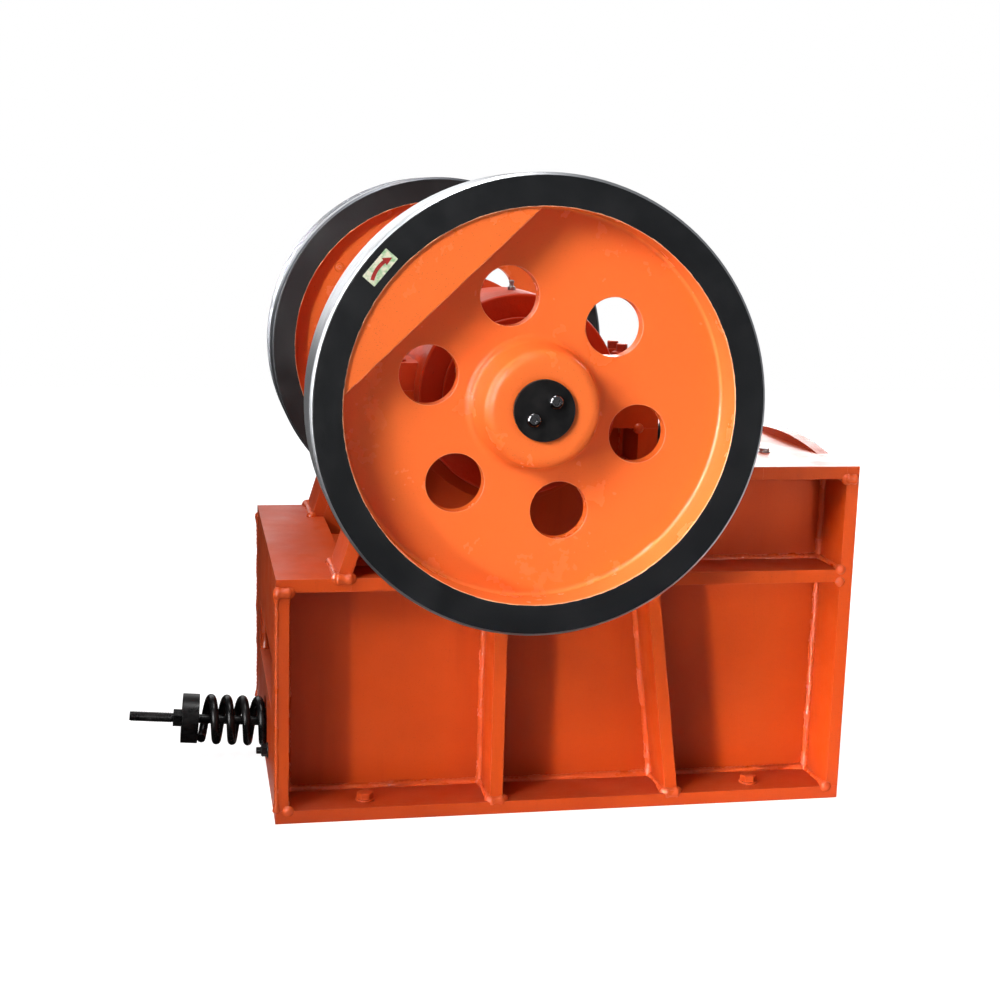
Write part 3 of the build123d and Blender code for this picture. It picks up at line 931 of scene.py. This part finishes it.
@dataclass(frozen=True)
class SocketScrew:
    """A round-headed screw with a hexagon socket."""

    radius: float = 0.0135
    height: float = 0.0095
    shoulder: float = 0.0062
    socket_flats: float = 0.010
    socket_depth: float = 0.005
    sides: int = 36
    steps: int = 5

    def add_to(self, shape: Shape, place: Vector, direction: Vector, turn: float) -> None:
        """Adds the screw to a shape.

        Args:
            shape: The shape.
            place: Where the head bears on its seat.
            direction: Where it points.
            turn: The turn of its socket, in radians.
        """
        rings = [circle(self.radius, 0.0, self.sides)]
        for number in range(self.steps + 1):
            angle = math.pi / 2 * number / self.steps
            rings.append(circle(self.radius - self.shoulder * (1 - math.cos(angle)),
                                self.height - self.shoulder * (1 - math.sin(angle)), self.sides))
        for height in (self.height, self.height - self.socket_depth):
            rings.append(hexagon(self.socket_flats / 2, height, self.sides))
        shape.skin(rings, seat(place, direction, turn))


def fasten(screw: Bolt | SocketScrew, places: Sequence[Sequence[float]], direction: Triple,
           turns: Sequence[float]) -> Shape:
    """A shape with a screw at each of some places.

    Args:
        screw: The kind of screw.
        places: Where they bear on their seats.
        direction: Where they point.
        turns: The turn of each one, in radians.

    Returns:
        The shape.
    """
    shape = Shape()
    for place, turn in zip(places, turns):
        screw.add_to(shape, Vector(place), Vector(direction), turn)
    return shape


@dataclass(frozen=True)
class WeldPass:
    """How the welder laid a bead: its size, its ripples and the lumps where it starts and stops."""

    leg: float = 0.010
    step: float = 0.0035
    ripple: float = 0.0105
    ripple_depth: float = 0.07
    wander: float = 0.26
    wander_per_metre: float = 38.0
    drift: float = 0.16
    drift_per_metre: float = 45.0
    noise_rows: Triple = (0.5, 3.5, 7.5)
    lump: float = 0.45
    lump_length: float = 0.016
    end_radius: float = 0.45
    end_reach: float = 0.7
    sides: int = 10

    def lay(self, shape: Shape, start: Vector, end: Vector, seed: float) -> None:
        """Lays a bead along a straight seam.

        Args:
            shape: The shape that the bead joins.
            start: Where the seam starts.
            end: Where it ends.
            seed: Sets this bead's own unevenness.
        """
        length = (end - start).length
        steps = max(3, int(length / self.step))
        swell_row, *drift_rows = self.noise_rows
        rings = []
        for number in range(steps + 1):
            along = length * number / steps
            swell = 1 + self.wander * noise.noise(Vector((along * self.wander_per_metre, seed, swell_row)))
            swell += self.ripple_depth * math.sin(math.tau * along / self.ripple)
            near_end = min(along, length - along)
            swell += self.lump * math.exp(-((near_end / self.lump_length) ** 2))
            drifts = [noise.noise(Vector((along * self.drift_per_metre, seed, row))) for row in drift_rows]
            off_axis = Vector([value * self.leg * self.drift for value in drifts] + [0.0])
            rings.append([point + off_axis for point in circle(self.leg * swell, along, self.sides)])
        shape.skin(self.rounded_ends(rings, length), seat(start, end - start))

    def lay_all(self, shape: Shape, seams: Sequence[Seam], seed_step: float, first_seed: float = 0.0) -> None:
        """Lays a bead along each of some seams.

        Args:
            shape: The shape that the beads join.
            seams: The start and the end of each seam.
            seed_step: How much each bead's seed is over the one before.
            first_seed: The seed of the first one.
        """
        for number, (start, end) in enumerate(seams):
            self.lay(shape, Vector(start), Vector(end), number * seed_step + first_seed)

    def rounded_ends(self, rings: list[Ring], length: float) -> list[Ring]:
        """Closes a bead with a domed ring at each end.

        Args:
            rings: The bead's rings.
            length: The seam's length.

        Returns:
            The rings with their ends.
        """
        share, reach = self.end_radius, self.leg * self.end_reach
        first = [Vector((point.x * share, point.y * share, -reach)) for point in rings[0]]
        last = [Vector((point.x * share, point.y * share, length + reach)) for point in rings[-1]]
        return [first, *rings, last]


@dataclass
class WeldedFrame:
    """The welded plate frame: beads along its seams and the painted bolts in its flanges."""

    place: Layout
    finishes: Finishes
    fillet: WeldPass = WeldPass()
    corner: WeldPass = WeldPass(leg=0.0075, lump=0.6)
    edge: WeldPass = WeldPass(leg=0.0045, wander=0.35, lump=0.9)
    weld_crease: float = 60.0
    slope_angle: float = math.radians(73.0)
    window_inset: float = 0.012
    front_inset: float = 0.008
    panel_seed: float = 0.37
    rib_seed: float = 7.0
    across_seed: float = 1.7
    rib_face_seed: float = 5.0
    edge_seed: float = 5.5
    saddle_seeds: Range = (2.3, 0.61)
    end_seed: float = 3.1
    foot_bolt: Bolt = Bolt(0.030, 0.013, washer_radius=0.020, washer_thickness=0.004)
    deck_bolt: Bolt = Bolt(0.019, 0.0075, washer_radius=0.013, washer_thickness=0.002)
    deck_bolt_x: float = 0.4678
    deck_bolt_y: float = 0.194
    block_nut: Bolt = Bolt(0.024, 0.012, washer_radius=0.017, stud_radius=0.008, stud_reach=0.010)
    block_nut_y: float = 0.111
    block_nut_z: float = 0.061

    def build(self) -> None:
        """Builds the frame's beads and bolts."""
        for side in Side:
            self.side_beads(side)
            self.saddle_beads(side)
            self.foot_bolts(side)
        self.end_beads()
        self.deck_bolts()
        self.block_nuts()

    def weld_piece(self, name: str, shape: Shape) -> None:
        """Makes a piece of the beads in a shape."""
        shape.piece(name, self.finishes.weld, Body.FRAME, Slot.FRAME_PAINT, self.weld_crease)

    def rib_edges(self, node: str) -> list[tuple[Range, Range]]:
        """Where the two faces of each rib on a side plate stand.

        Args:
            node: The ribs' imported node.

        Returns:
            The X and Z of the foot and of the head of each face.
        """
        ends = []
        for height in (self.place.base_top, self.place.deck_floor):
            level = [point for point in points_of(node) if abs(point.z - height) < SAME_PLACE]
            ends.append([(x, height) for x in sorted({round(point.x, 5) for point in level})])
        return list(zip(*ends))

    def side_beads(self, side: Side) -> None:
        """Lays the beads of one side's panels.

        Args:
            side: The side.
        """
        place, sign = self.place, side.value
        plate_y, side_y = place.plate_y * sign, place.side_y * sign
        rib_y = outer_y(f"{side.word}_side_ribs", side)
        left, right = place.rear_x + place.plate, place.front_x - place.plate
        low, middle = place.base_top, place.deck_floor
        deck, high = place.deck_top, place.top_floor
        deck_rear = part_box(f"{side.word}_mid_flange")[0].x
        top_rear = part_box(f"{side.word}_top_flange")[0].x
        panels = [
            ((left, low), (right, low)),
            ((left, middle), (right, middle)),
            ((left, low), (left, middle)),
            ((right, low), (right, middle)),
            ((deck_rear, deck), (right, deck)),
            ((top_rear, high), (right, high)),
            ((right, deck), (right, high)),
        ]
        shape = Shape()
        seams = [[at_y(spot, plate_y) for spot in seam] for seam in panels]
        self.fillet.lay_all(shape, seams, 1.0, sign * self.panel_seed)
        ribs = self.rib_edges(f"{side.word}_side_ribs")
        for rib in ribs:
            foot, head = (at_y(end, plate_y) for end in rib)
            self.fillet.lay(shape, foot, head, foot.x * self.rib_seed)
        corners = [(left, low), (left, middle), (right, low), (right, middle), (right, deck), (right, high)]
        across = [(at_y(spot, plate_y), at_y(spot, side_y)) for spot in corners]
        across += [(at_y(end, plate_y), at_y(end, rib_y)) for rib in ribs for end in rib]
        self.corner.lay_all(shape, across, self.across_seed, sign)
        for faces in zip(ribs[::2], ribs[1::2]):
            for number, spots in enumerate(zip(*faces)):
                start, end = (at_y(spot, rib_y) for spot in spots)
                self.corner.lay(shape, start, end, start.x * self.rib_face_seed + number)
        half_leg = self.edge.leg * 0.5
        rear_edge = [(place.rear_x + half_leg, side_y - half_leg * sign, z) for z in (low, middle)]
        self.edge.lay_all(shape, [rear_edge], 1.0, self.edge_seed + sign)
        self.weld_piece(f"{side.word}_panel_welds", shape)

    def saddle_beads(self, side: Side) -> None:
        """Lays the beads round the bearing saddle of one side.

        Args:
            side: The side.
        """
        outer, plate, inner = (y * side.value for y in (self.place.side_y, self.place.plate_y,
                                                        self.place.inner_y))
        low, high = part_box(f"{side.word}_slope_flange")
        rib_low, rib_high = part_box(f"{side.word}_edge_rib")
        lean = (high.z - low.z) / math.tan(self.slope_angle)
        foot_front, head_rear = high.x - lean, low.x + lean
        paths = [
            [(low.x, inner, low.z), (low.x, outer, low.z), (foot_front, outer, low.z),
             (foot_front, plate, low.z), (high.x, plate, high.z)],
            [(rib_low.x, plate, rib_low.z), (rib_low.x, outer, rib_low.z), (rib_high.x, outer, rib_low.z),
             (rib_high.x, inner, rib_low.z)],
            [(rib_low.x, plate, rib_low.z), (rib_low.x, plate, rib_high.z), (rib_low.x, outer, rib_high.z)],
            [(head_rear, inner, high.z), (head_rear, outer, high.z), (high.x, outer, high.z)],
        ]
        shape = Shape()
        seams = [seam for path in paths for seam in pairwise(path)]
        seed_step, first_seed = self.saddle_seeds
        self.corner.lay_all(shape, seams, seed_step, side.value * first_seed)
        self.weld_piece(f"{side.word}_saddle_welds", shape)

    def end_beads(self) -> None:
        """Lays the beads at the rear window, the decks and the front wall."""
        place = self.place
        beam_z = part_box("rear_beam")[0].z
        cross_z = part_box("lower_cross_plate")[1].z
        deck_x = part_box("front_deck")[0].x
        window = place.rear_x + self.window_inset
        seams = []
        for inner, outer in ((-place.inner_y, -place.side_y), (place.inner_y, place.side_y)):
            seams += [
                ((window, inner, cross_z), (window, inner, beam_z)),
                ((place.rear_x + place.plate, outer, place.deck_floor),
                 (place.rear_x, outer, place.deck_floor)),
                ((place.front_x - place.plate, outer, place.top_floor),
                 (place.front_x - self.front_inset, outer, place.top_floor)),
            ]
        seams.append(((window, -place.inner_y, beam_z), (window, place.inner_y, beam_z)))
        seams.append(((deck_x, -place.inner_y, place.top), (deck_x, place.inner_y, place.top)))
        shape = Shape()
        self.corner.lay_all(shape, seams, self.end_seed)
        self.weld_piece("end_welds", shape)

    def foot_bolts(self, side: Side) -> None:
        """Puts a painted bolt in each foundation hole of one side.

        Args:
            side: The side.
        """
        pattern = next(mount for mount in frame["record"]["mounts"] if mount["name"] == "foundation_bolts")
        half_x, half_y = (pattern["dims"][f"spacing_{axis}_mm"] / 2 / MM_PER_METRE for axis in "xy")
        places = [(x, half_y * side.value, self.place.base_top) for x in (-half_x, half_x)]
        shape = fasten(self.foot_bolt, places, UP, (0.4, 1.4))
        shape.piece(f"{side.word}_foundation_bolts", self.finishes.frame, Body.FRAME, Slot.FRAME_PAINT)

    def deck_bolts(self) -> None:
        """Puts the bolts on the front deck."""
        places = [(self.deck_bolt_x, y, self.place.top) for y in (-self.deck_bolt_y, self.deck_bolt_y)]
        shape = fasten(self.deck_bolt, places, UP, (0.3, 1.3))
        shape.piece("front_deck_bolts", self.finishes.bare_steel, Body.FRAME, Slot.BARE_STEEL)

    def block_nuts(self) -> None:
        """Sets the black nuts that hold the toggle block's shims, on the plate across the back's foot."""
        low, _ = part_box("lower_cross_plate")
        places = [(low.x, y, self.block_nut_z) for y in (-self.block_nut_y, self.block_nut_y)]
        shape = fasten(self.block_nut, places, (-1.0, 0.0, 0.0), (0.2, 1.2))
        shape.piece("toggle_block_nuts", self.finishes.black_steel, Body.FRAME, Slot.BLACK_STEEL)


@dataclass
class BearingHousings:
    """The hardware of the two bearing housings: clamp studs, cover bolts and a grease nipple each."""

    place: Layout
    finishes: Finishes
    clamp: Bolt = Bolt(0.036, 0.019, washer_radius=0.024, washer_thickness=0.004, stud_radius=0.012,
                       stud_reach=0.016)
    clamp_from_shaft: float = 0.233
    clamp_from_side: float = 0.040
    clamp_spacing: float = 0.070
    cover: Bolt = Bolt(0.018, 0.0075)
    cover_bolts: int = 8
    cover_bolt_turn: float = 0.7
    cover_pitch_radius: float = 0.132
    nipple: tuple[Range, ...] = ((0.0075, -0.002), (0.0075, 0.006), (0.0045, 0.008), (0.0040, 0.013),
                                 (0.0052, 0.015), (0.0052, 0.018), (0.0025, 0.020))
    nipple_sides: int = 20

    def build(self) -> None:
        """Builds the hardware of both housings."""
        for side in Side:
            self.clamp_studs(side)
            self.cover_ring(side)
            self.grease_nipple(side)

    def clamp_studs(self, side: Side) -> None:
        """Stands the clamp studs on the ears of one housing.

        Args:
            side: The side.
        """
        housing = f"{side.word}_bearing_housing"
        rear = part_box(housing)[0].x
        ear_top = max(point.z for point in points_of(housing) if abs(point.x - rear) < SAME_PLACE)
        places, turns = [], []
        for sign in (-1, 1):
            for number in range(2):
                y = self.place.side_y - self.clamp_from_side - self.clamp_spacing * number
                places.append((self.place.shaft_x + self.clamp_from_shaft * sign, y * side.value, ear_top))
                turns.append(number + sign * 0.3)
        shape = fasten(self.clamp, places, UP, turns)
        shape.piece(f"{side.word}_clamp_studs", self.finishes.housing, Body.FRAME, Slot.HOUSING_PAINT)

    def cover_ring(self, side: Side) -> None:
        """Sets the bolts round one housing's cover.

        Args:
            side: The side.
        """
        radius, count = self.cover_pitch_radius, self.cover_bolts
        flange = [point for point in points_of(f"{side.word}_housing_cover")
                  if self.place.from_shaft(point) > radius]
        face_y = max(abs(point.y) for point in flange) * side.value
        places = [self.place.round_shaft(radius, math.tau * (number + 0.5) / count, face_y)
                  for number in range(count)]
        turns = [number * self.cover_bolt_turn for number in range(count)]
        shape = fasten(self.cover, places, (0.0, side.value, 0.0), turns)
        shape.piece(f"{side.word}_cover_bolts", self.finishes.housing, Body.FRAME, Slot.HOUSING_PAINT)

    def grease_nipple(self, side: Side) -> None:
        """Stands a grease nipple on top of one housing.

        Args:
            side: The side.
        """
        _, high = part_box(f"{side.word}_bearing_housing")
        foot = Vector((self.place.shaft_x, (self.place.side_y - self.clamp_from_side) * side.value, high.z))
        shape = Shape()
        shape.turned(self.nipple, seat(foot, Vector(UP)), self.nipple_sides)
        shape.piece(f"{side.word}_grease_nipple", self.finishes.bare_steel, Body.FRAME, Slot.BARE_STEEL)


@dataclass
class Rotor:
    """What turns with the shaft: the screws in its end caps, the plug in a web and the turning mark."""

    place: Layout
    finishes: Finishes
    cap_bolt: SocketScrew = SocketScrew()
    cap_bolt_radius: float = 0.026
    cap_bolt_angle: float = math.radians(39.0)
    plug: SocketScrew = SocketScrew(0.0125, 0.009, 0.005, 0.008, 0.003)
    plug_radius: float = 0.3147
    plug_angle: float = math.radians(142.15)
    web_reach: Range = (0.15, 0.27)
    mark_length: float = 0.064
    mark_width: float = 0.028
    mark_corner: float = 0.0015
    mark_corner_steps: int = 4
    mark_radius: float = 0.3935
    mark_angle: float = math.radians(140.3)
    foil_thickness: float = 0.0004
    arrow_bend: float = 0.055
    arrow_drop: float = 0.0525
    arrow_width: float = 0.0068
    arrow_wing: float = 0.0076
    arrow_start: float = math.radians(118)
    arrow_neck: float = math.radians(77)
    arrow_tip: float = math.radians(60)
    arrow_pieces: int = 10

    def build(self) -> None:
        """Builds the screws, the plug and the mark."""
        for side in Side:
            self.cap_bolts(side)
        self.balance_plug()
        self.turning_mark()

    def cap_bolts(self, side: Side) -> None:
        """Sets two screws in one end cap.

        Args:
            side: The side.
        """
        face_y = outer_y(f"{side.word}_end_cap", side)
        angles = (self.cap_bolt_angle, self.cap_bolt_angle + math.pi)
        places = [self.place.round_shaft(self.cap_bolt_radius, angle, face_y) for angle in angles]
        shape = fasten(self.cap_bolt, places, (0.0, side.value, 0.0), (0.3, 1.3))
        shape.piece(f"{side.word}_cap_bolts", self.finishes.cap_bolt, Body.SHAFT, Slot.BLACK_PAINT)

    def balance_plug(self) -> None:
        """Screws the balance plug into the web of the far flywheel, on the side that faces the frame."""
        inner, outer = self.web_reach
        web_y = min(point.y for point in points_of("grooved_flywheel")
                    if inner < self.place.from_shaft(point) < outer)
        centre = self.place.round_shaft(self.plug_radius, self.plug_angle, web_y)
        shape = fasten(self.plug, [centre], (0.0, -1.0, 0.0), (0.4,))
        shape.piece("far_balance_plug", self.finishes.grooved_wheel, Body.SHAFT, Slot.WHEEL_PAINT)

    def mark_point(self, along: float, across: float, lift: float) -> Vector:
        """A point on the turning mark.

        Args:
            along: The distance along the rim from the mark's middle.
            across: The distance outward from the mark's middle.
            lift: The height over the rim's face.

        Returns:
            The point.
        """
        way = Vector((-math.sin(self.mark_angle), 0.0, math.cos(self.mark_angle)))
        face_y = outer_y("plain_flywheel", Side.NEAR) - lift
        return self.place.round_shaft(self.mark_radius + across, self.mark_angle, face_y) - way * along

    def turning_mark(self) -> None:
        """Lays the foil and its bent arrow on the near rim."""
        corner, steps = self.mark_corner, self.mark_corner_steps
        half, deep = self.mark_length / 2 - corner, self.mark_width / 2 - corner
        outline = []
        for quarter, (sign_x, sign_y) in enumerate(((1, -1), (1, 1), (-1, 1), (-1, -1))):
            for number in range(steps + 1):
                angle = math.pi / 2 * (quarter - 1 + number / steps)
                outline.append((sign_x * half + corner * math.cos(angle),
                                sign_y * deep + corner * math.sin(angle)))
        lift = Vector((0, -self.foil_thickness, 0))
        foil, arrow = Shape(), Shape()
        foil.slab([self.mark_point(x, y, 0.0) for x, y in outline], lift)
        foil.piece("turning_mark_foil", self.finishes.foil, Body.SHAFT, Slot.BLACK_PAINT)
        for points in self.arrow_parts():
            arrow.slab([self.mark_point(x, y, self.foil_thickness) for x, y in points], lift * 0.5)
        arrow.piece("turning_mark_arrow", self.finishes.arrow, Body.SHAFT, Slot.BLACK_PAINT)

    def arrow_parts(self) -> list[list[Range]]:
        """The outlines of the bent arrow: short pieces of its shaft, and its head.

        Returns:
            The outlines, in the mark's own plane.
        """
        inner, outer = (self.arrow_bend + self.arrow_width / 2 * sign for sign in (-1, 1))
        start, sweep = self.arrow_start, self.arrow_neck - self.arrow_start
        angles = [start + sweep * number / self.arrow_pieces for number in range(self.arrow_pieces + 1)]
        parts = [[(inner, first), (inner, second), (outer, second), (outer, first)]
                 for first, second in pairwise(angles)]
        parts.append([(self.arrow_bend - self.arrow_wing, self.arrow_neck), (self.arrow_bend, self.arrow_tip),
                      (self.arrow_bend + self.arrow_wing, self.arrow_neck)])
        return [[(radius * math.cos(angle), radius * math.sin(angle) - self.arrow_drop)
                 for radius, angle in part] for part in parts]


@dataclass
class TensionGear:
    """The screw thread on the tension rod's free end."""

    finishes: Finishes
    thread_pitch: float = 0.0035
    thread_depth: float = 0.0011
    rings_per_turn: int = 4
    sides: int = 20
    tail_reach: float = 0.010
    start_gap: float = 0.004
    length_less: float = 0.006
    crease: float = 20.0

    def build(self) -> None:
        """Cuts the look of a thread between the rod's end and its nut."""
        rod = points_of("tension_rod")
        tail = [point for point in rod if point.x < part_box("tension_rod")[0].x + self.tail_reach]
        start = middle_of(tail)
        way = middle_of(points_of("spring_washer")) - start
        to_nut = (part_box("tension_nut")[0].x - start.x) / way.x
        length = (way * to_nut).length - self.length_less
        radius = (max(point.y for point in tail) - min(point.y for point in tail)) / 2
        steps = int(length / self.thread_pitch * self.rings_per_turn)
        rings = []
        for number in range(steps + 1):
            along = self.start_gap + length * number / steps
            ring = circle(1.0, along, self.sides)
            for side, point in enumerate(ring):
                phase = (along / self.thread_pitch - side / self.sides) % 1.0
                point.xy *= radius + abs(phase - 0.5) * 2 * self.thread_depth
            rings.append(ring)
        shape = Shape()
        shape.skin(rings, seat(start, way))
        shape.piece("rod_thread", self.finishes.black_steel, Body.FRAME, Slot.BLACK_STEEL, self.crease)


@dataclass(frozen=True)
class SoftBox:
    """A large soft lamp."""

    name: str
    place: Triple
    target: Triple
    size: Range
    watts: float
    spread: float = 180.0
    glint_only: bool = False

    def build(self) -> None:
        """Hangs the lamp."""
        data = bpy.data.lights.new(self.name, "AREA")
        data.shape = "RECTANGLE"
        data.size, data.size_y = self.size
        data.energy = self.watts
        data.spread = math.radians(self.spread)
        lamp = bpy.data.objects.new(self.name, data)
        lamp.location = self.place
        aim = Vector(self.target) - Vector(self.place)
        lamp.rotation_euler = aim.to_track_quat("-Z", "Y").to_euler()
        lamp.visible_camera = False
        lamp.visible_diffuse = not self.glint_only
        bpy.context.scene.collection.objects.link(lamp)


@dataclass(frozen=True)
class DarkCloth:
    """A dark cloth that only glossy surfaces see, so that they don't mirror white on every side."""

    name: str
    corners: tuple[Triple, ...]
    nap: Spots = Spots(90.0, 4.0)
    colour: Colour = (0.020, 0.016, 0.014, 1.0)
    sheen: Colour = (0.030, 0.024, 0.021, 1.0)
    roughness: float = 0.95

    def build(self) -> None:
        """Hangs or lays the cloth."""
        mesh = bpy.data.meshes.new(self.name)
        mesh.from_pydata(list(self.corners), [], [tuple(range(len(self.corners)))])
        graph = Graph.of_material(self.name + "_finish")
        tone = graph.blend(graph.spots(graph.place(), self.nap), self.colour, self.sheen)
        mesh.materials.append(graph.finish(Base_Color=tone, Roughness=self.roughness, Specular_IOR_Level=0.0))
        cloth = bpy.data.objects.new(self.name, mesh)
        bpy.context.scene.collection.objects.link(cloth)
        cloth.visible_camera = cloth.visible_diffuse = cloth.visible_shadow = False
        cloth.visible_transmission = False


@dataclass(frozen=True)
class Studio:
    """A pale floor, a white backdrop, soft lamps and the camera at the photograph's angle."""

    camera_place: Triple = (-0.78888, -3.46376, 1.26377)
    camera_azimuth: float = -11.53
    camera_elevation: float = 10.725
    camera_roll: float = 1.668
    lens: float = 57.15
    floor_size: float = 14.0
    floor_grain: Spots = Spots(3.0, 3.0)
    floor_pale: Colour = (0.80, 0.80, 0.80, 1.0)
    floor_worn: Colour = (0.76, 0.76, 0.76, 1.0)
    floor_worn_share: float = 0.2
    seen_colour: Colour = (0.38, 0.38, 0.38, 1.0)
    seen_glow: float = 0.93
    white: Colour = (1.0, 1.0, 1.0, 1.0)
    sky: Colour = (0.97, 0.98, 1.0, 1.0)
    sky_strength: float = 0.22
    lamps: tuple[SoftBox, ...] = (
        SoftBox("key_lamp", (-2.41, -2.63, 2.65), (0.36, -0.5, 0.97), (1.5, 1.5), 13.4, 40.0),
        SoftBox("fill_lamp", (-5.9, -5.7, 0.3), (1.15, -0.4, -0.17), (1.4, 0.7), 13.8, 16.0),
        SoftBox("edge_lamp", (1.2, -3.6, 1.3), (0.55, -0.36, 0.71), (0.4, 0.4), 0.25, 10.0),
        SoftBox("back_wheel_lamp", (-2.2, -3.2, 1.7), (-0.47, 0.6, 1.16), (0.3, 0.3), 0.75, 14.0),
        SoftBox("glint_panel", (-2.7, -2.4, 1.2), (-0.2, -0.6, 0.9), (0.8, 1.2), 130.0, glint_only=True),
        SoftBox("back_panel", (-1.5, 4.2, 2.6), (-1.2, 0.0, 1.9), (3.8, 2.8), 46.0, glint_only=True),
        SoftBox("top_lamp", (-0.8, -0.6, 4.2), (-0.3, 0.2, 1.0), (1.4, 1.4), 66.0),
        SoftBox("deck_panel", (2.3, 4.2, 1.9), (0.5, 0.0, 0.7), (2.4, 1.8), 125.0),
    )
    cloths: tuple[DarkCloth, ...] = (
        DarkCloth("front_cloth", ((-2.6, -3.4, 0.003), (2.6, -3.4, 0.003), (2.6, -0.5, 0.003),
                                  (-2.6, -0.5, 0.003))),
        DarkCloth("rear_cloth", ((-2.6, -0.5, 0.003), (-0.64, -0.5, 0.003), (-0.64, 0.8, 0.003),
                                 (0.9, 0.8, 0.003), (0.9, 4.4, 0.003), (-2.6, 4.4, 0.003))),
        DarkCloth("left_cloth", ((-2.6, -0.5, 0.003), (-2.6, 4.4, 0.003), (-2.6, 4.4, 1.5),
                                 (-2.6, -0.5, 1.5))),
        DarkCloth("hung_cloth", ((-2.6, 4.4, 0.003), (-0.7, 4.4, 0.003), (-0.7, 4.4, 1.1),
                                 (-2.6, 4.4, 1.1))),
    )

    def build(self) -> None:
        """Builds the studio."""
        bpy.context.scene.view_settings.view_transform = "Standard"
        self.floor()
        self.world()
        for lamp in self.lamps:
            lamp.build()
        for cloth in self.cloths:
            cloth.build()
        self.camera()

    def floor(self) -> None:
        """Lays the floor, which the camera sees white apart from the crusher's shadow."""
        half = self.floor_size / 2
        mesh = bpy.data.meshes.new("studio_floor")
        mesh.from_pydata([(-half, -half, 0), (half, -half, 0), (half, half, 0), (-half, half, 0)], [],
                         [(0, 1, 2, 3)])
        graph = Graph.of_material("studio_floor_finish")
        grain = graph.spots(graph.place(), self.floor_grain, 0.0, self.floor_worn_share)
        pale = graph.add("BsdfDiffuse", {"Color": graph.blend(grain, self.floor_pale, self.floor_worn)})
        glow = graph.add("Emission", {"Color": self.white, "Strength": self.seen_glow})
        soft = graph.add("BsdfDiffuse", {"Color": self.seen_colour})
        white = graph.add("AddShader", {0: glow.outputs[0], 1: soft.outputs[0]})
        seen = graph.add("LightPath").outputs["Is Camera Ray"]
        mixed = graph.add("MixShader", {0: seen, 1: pale.outputs[0], 2: white.outputs[0]})
        graph.add("OutputMaterial", {"Surface": mixed.outputs[0]})
        mesh.materials.append(graph.owner)
        floor = bpy.data.objects.new("studio_floor", mesh)
        bpy.context.scene.collection.objects.link(floor)

    def world(self) -> None:
        """Sets the backdrop: white to the camera, darker as a light and in reflections."""
        graph = Graph(bpy.data.worlds.new("studio_backdrop"))
        sky = graph.add("Background", {"Color": self.sky, "Strength": self.sky_strength})
        white = graph.add("Background", {"Color": self.white})
        seen = graph.add("LightPath").outputs["Is Camera Ray"]
        mixed = graph.add("MixShader", {0: seen, 1: sky.outputs[0], 2: white.outputs[0]})
        graph.add("OutputWorld", {"Surface": mixed.outputs[0]})
        bpy.context.scene.world = graph.owner

    def camera(self) -> None:
        """Stands the camera where the photograph was taken."""
        data = bpy.data.cameras.new("studio_camera")
        data.lens = self.lens
        camera = bpy.data.objects.new("studio_camera", data)
        aim = (Matrix.Rotation(math.radians(self.camera_azimuth), 4, "Z")
               @ Matrix.Rotation(math.radians(90 - self.camera_elevation), 4, "X")
               @ Matrix.Rotation(math.radians(self.camera_roll), 4, "Z"))
        camera.matrix_world = Matrix.Translation(self.camera_place) @ aim
        bpy.context.scene.collection.objects.link(camera)
        bpy.context.scene.camera = camera


def main() -> None:
    """Dresses the crusher and builds the studio round it."""
    logging.basicConfig(level=logging.INFO, format="%(name)s %(message)s")
    place = Layout.read()
    finishes = Finishes.make(place)
    finishes.dress_nodes()
    WeldedFrame(place, finishes).build()
    BearingHousings(place, finishes).build()
    Rotor(place, finishes).build()
    TensionGear(finishes).build()
    Studio().build()


if __name__ == "__main__":
    main()
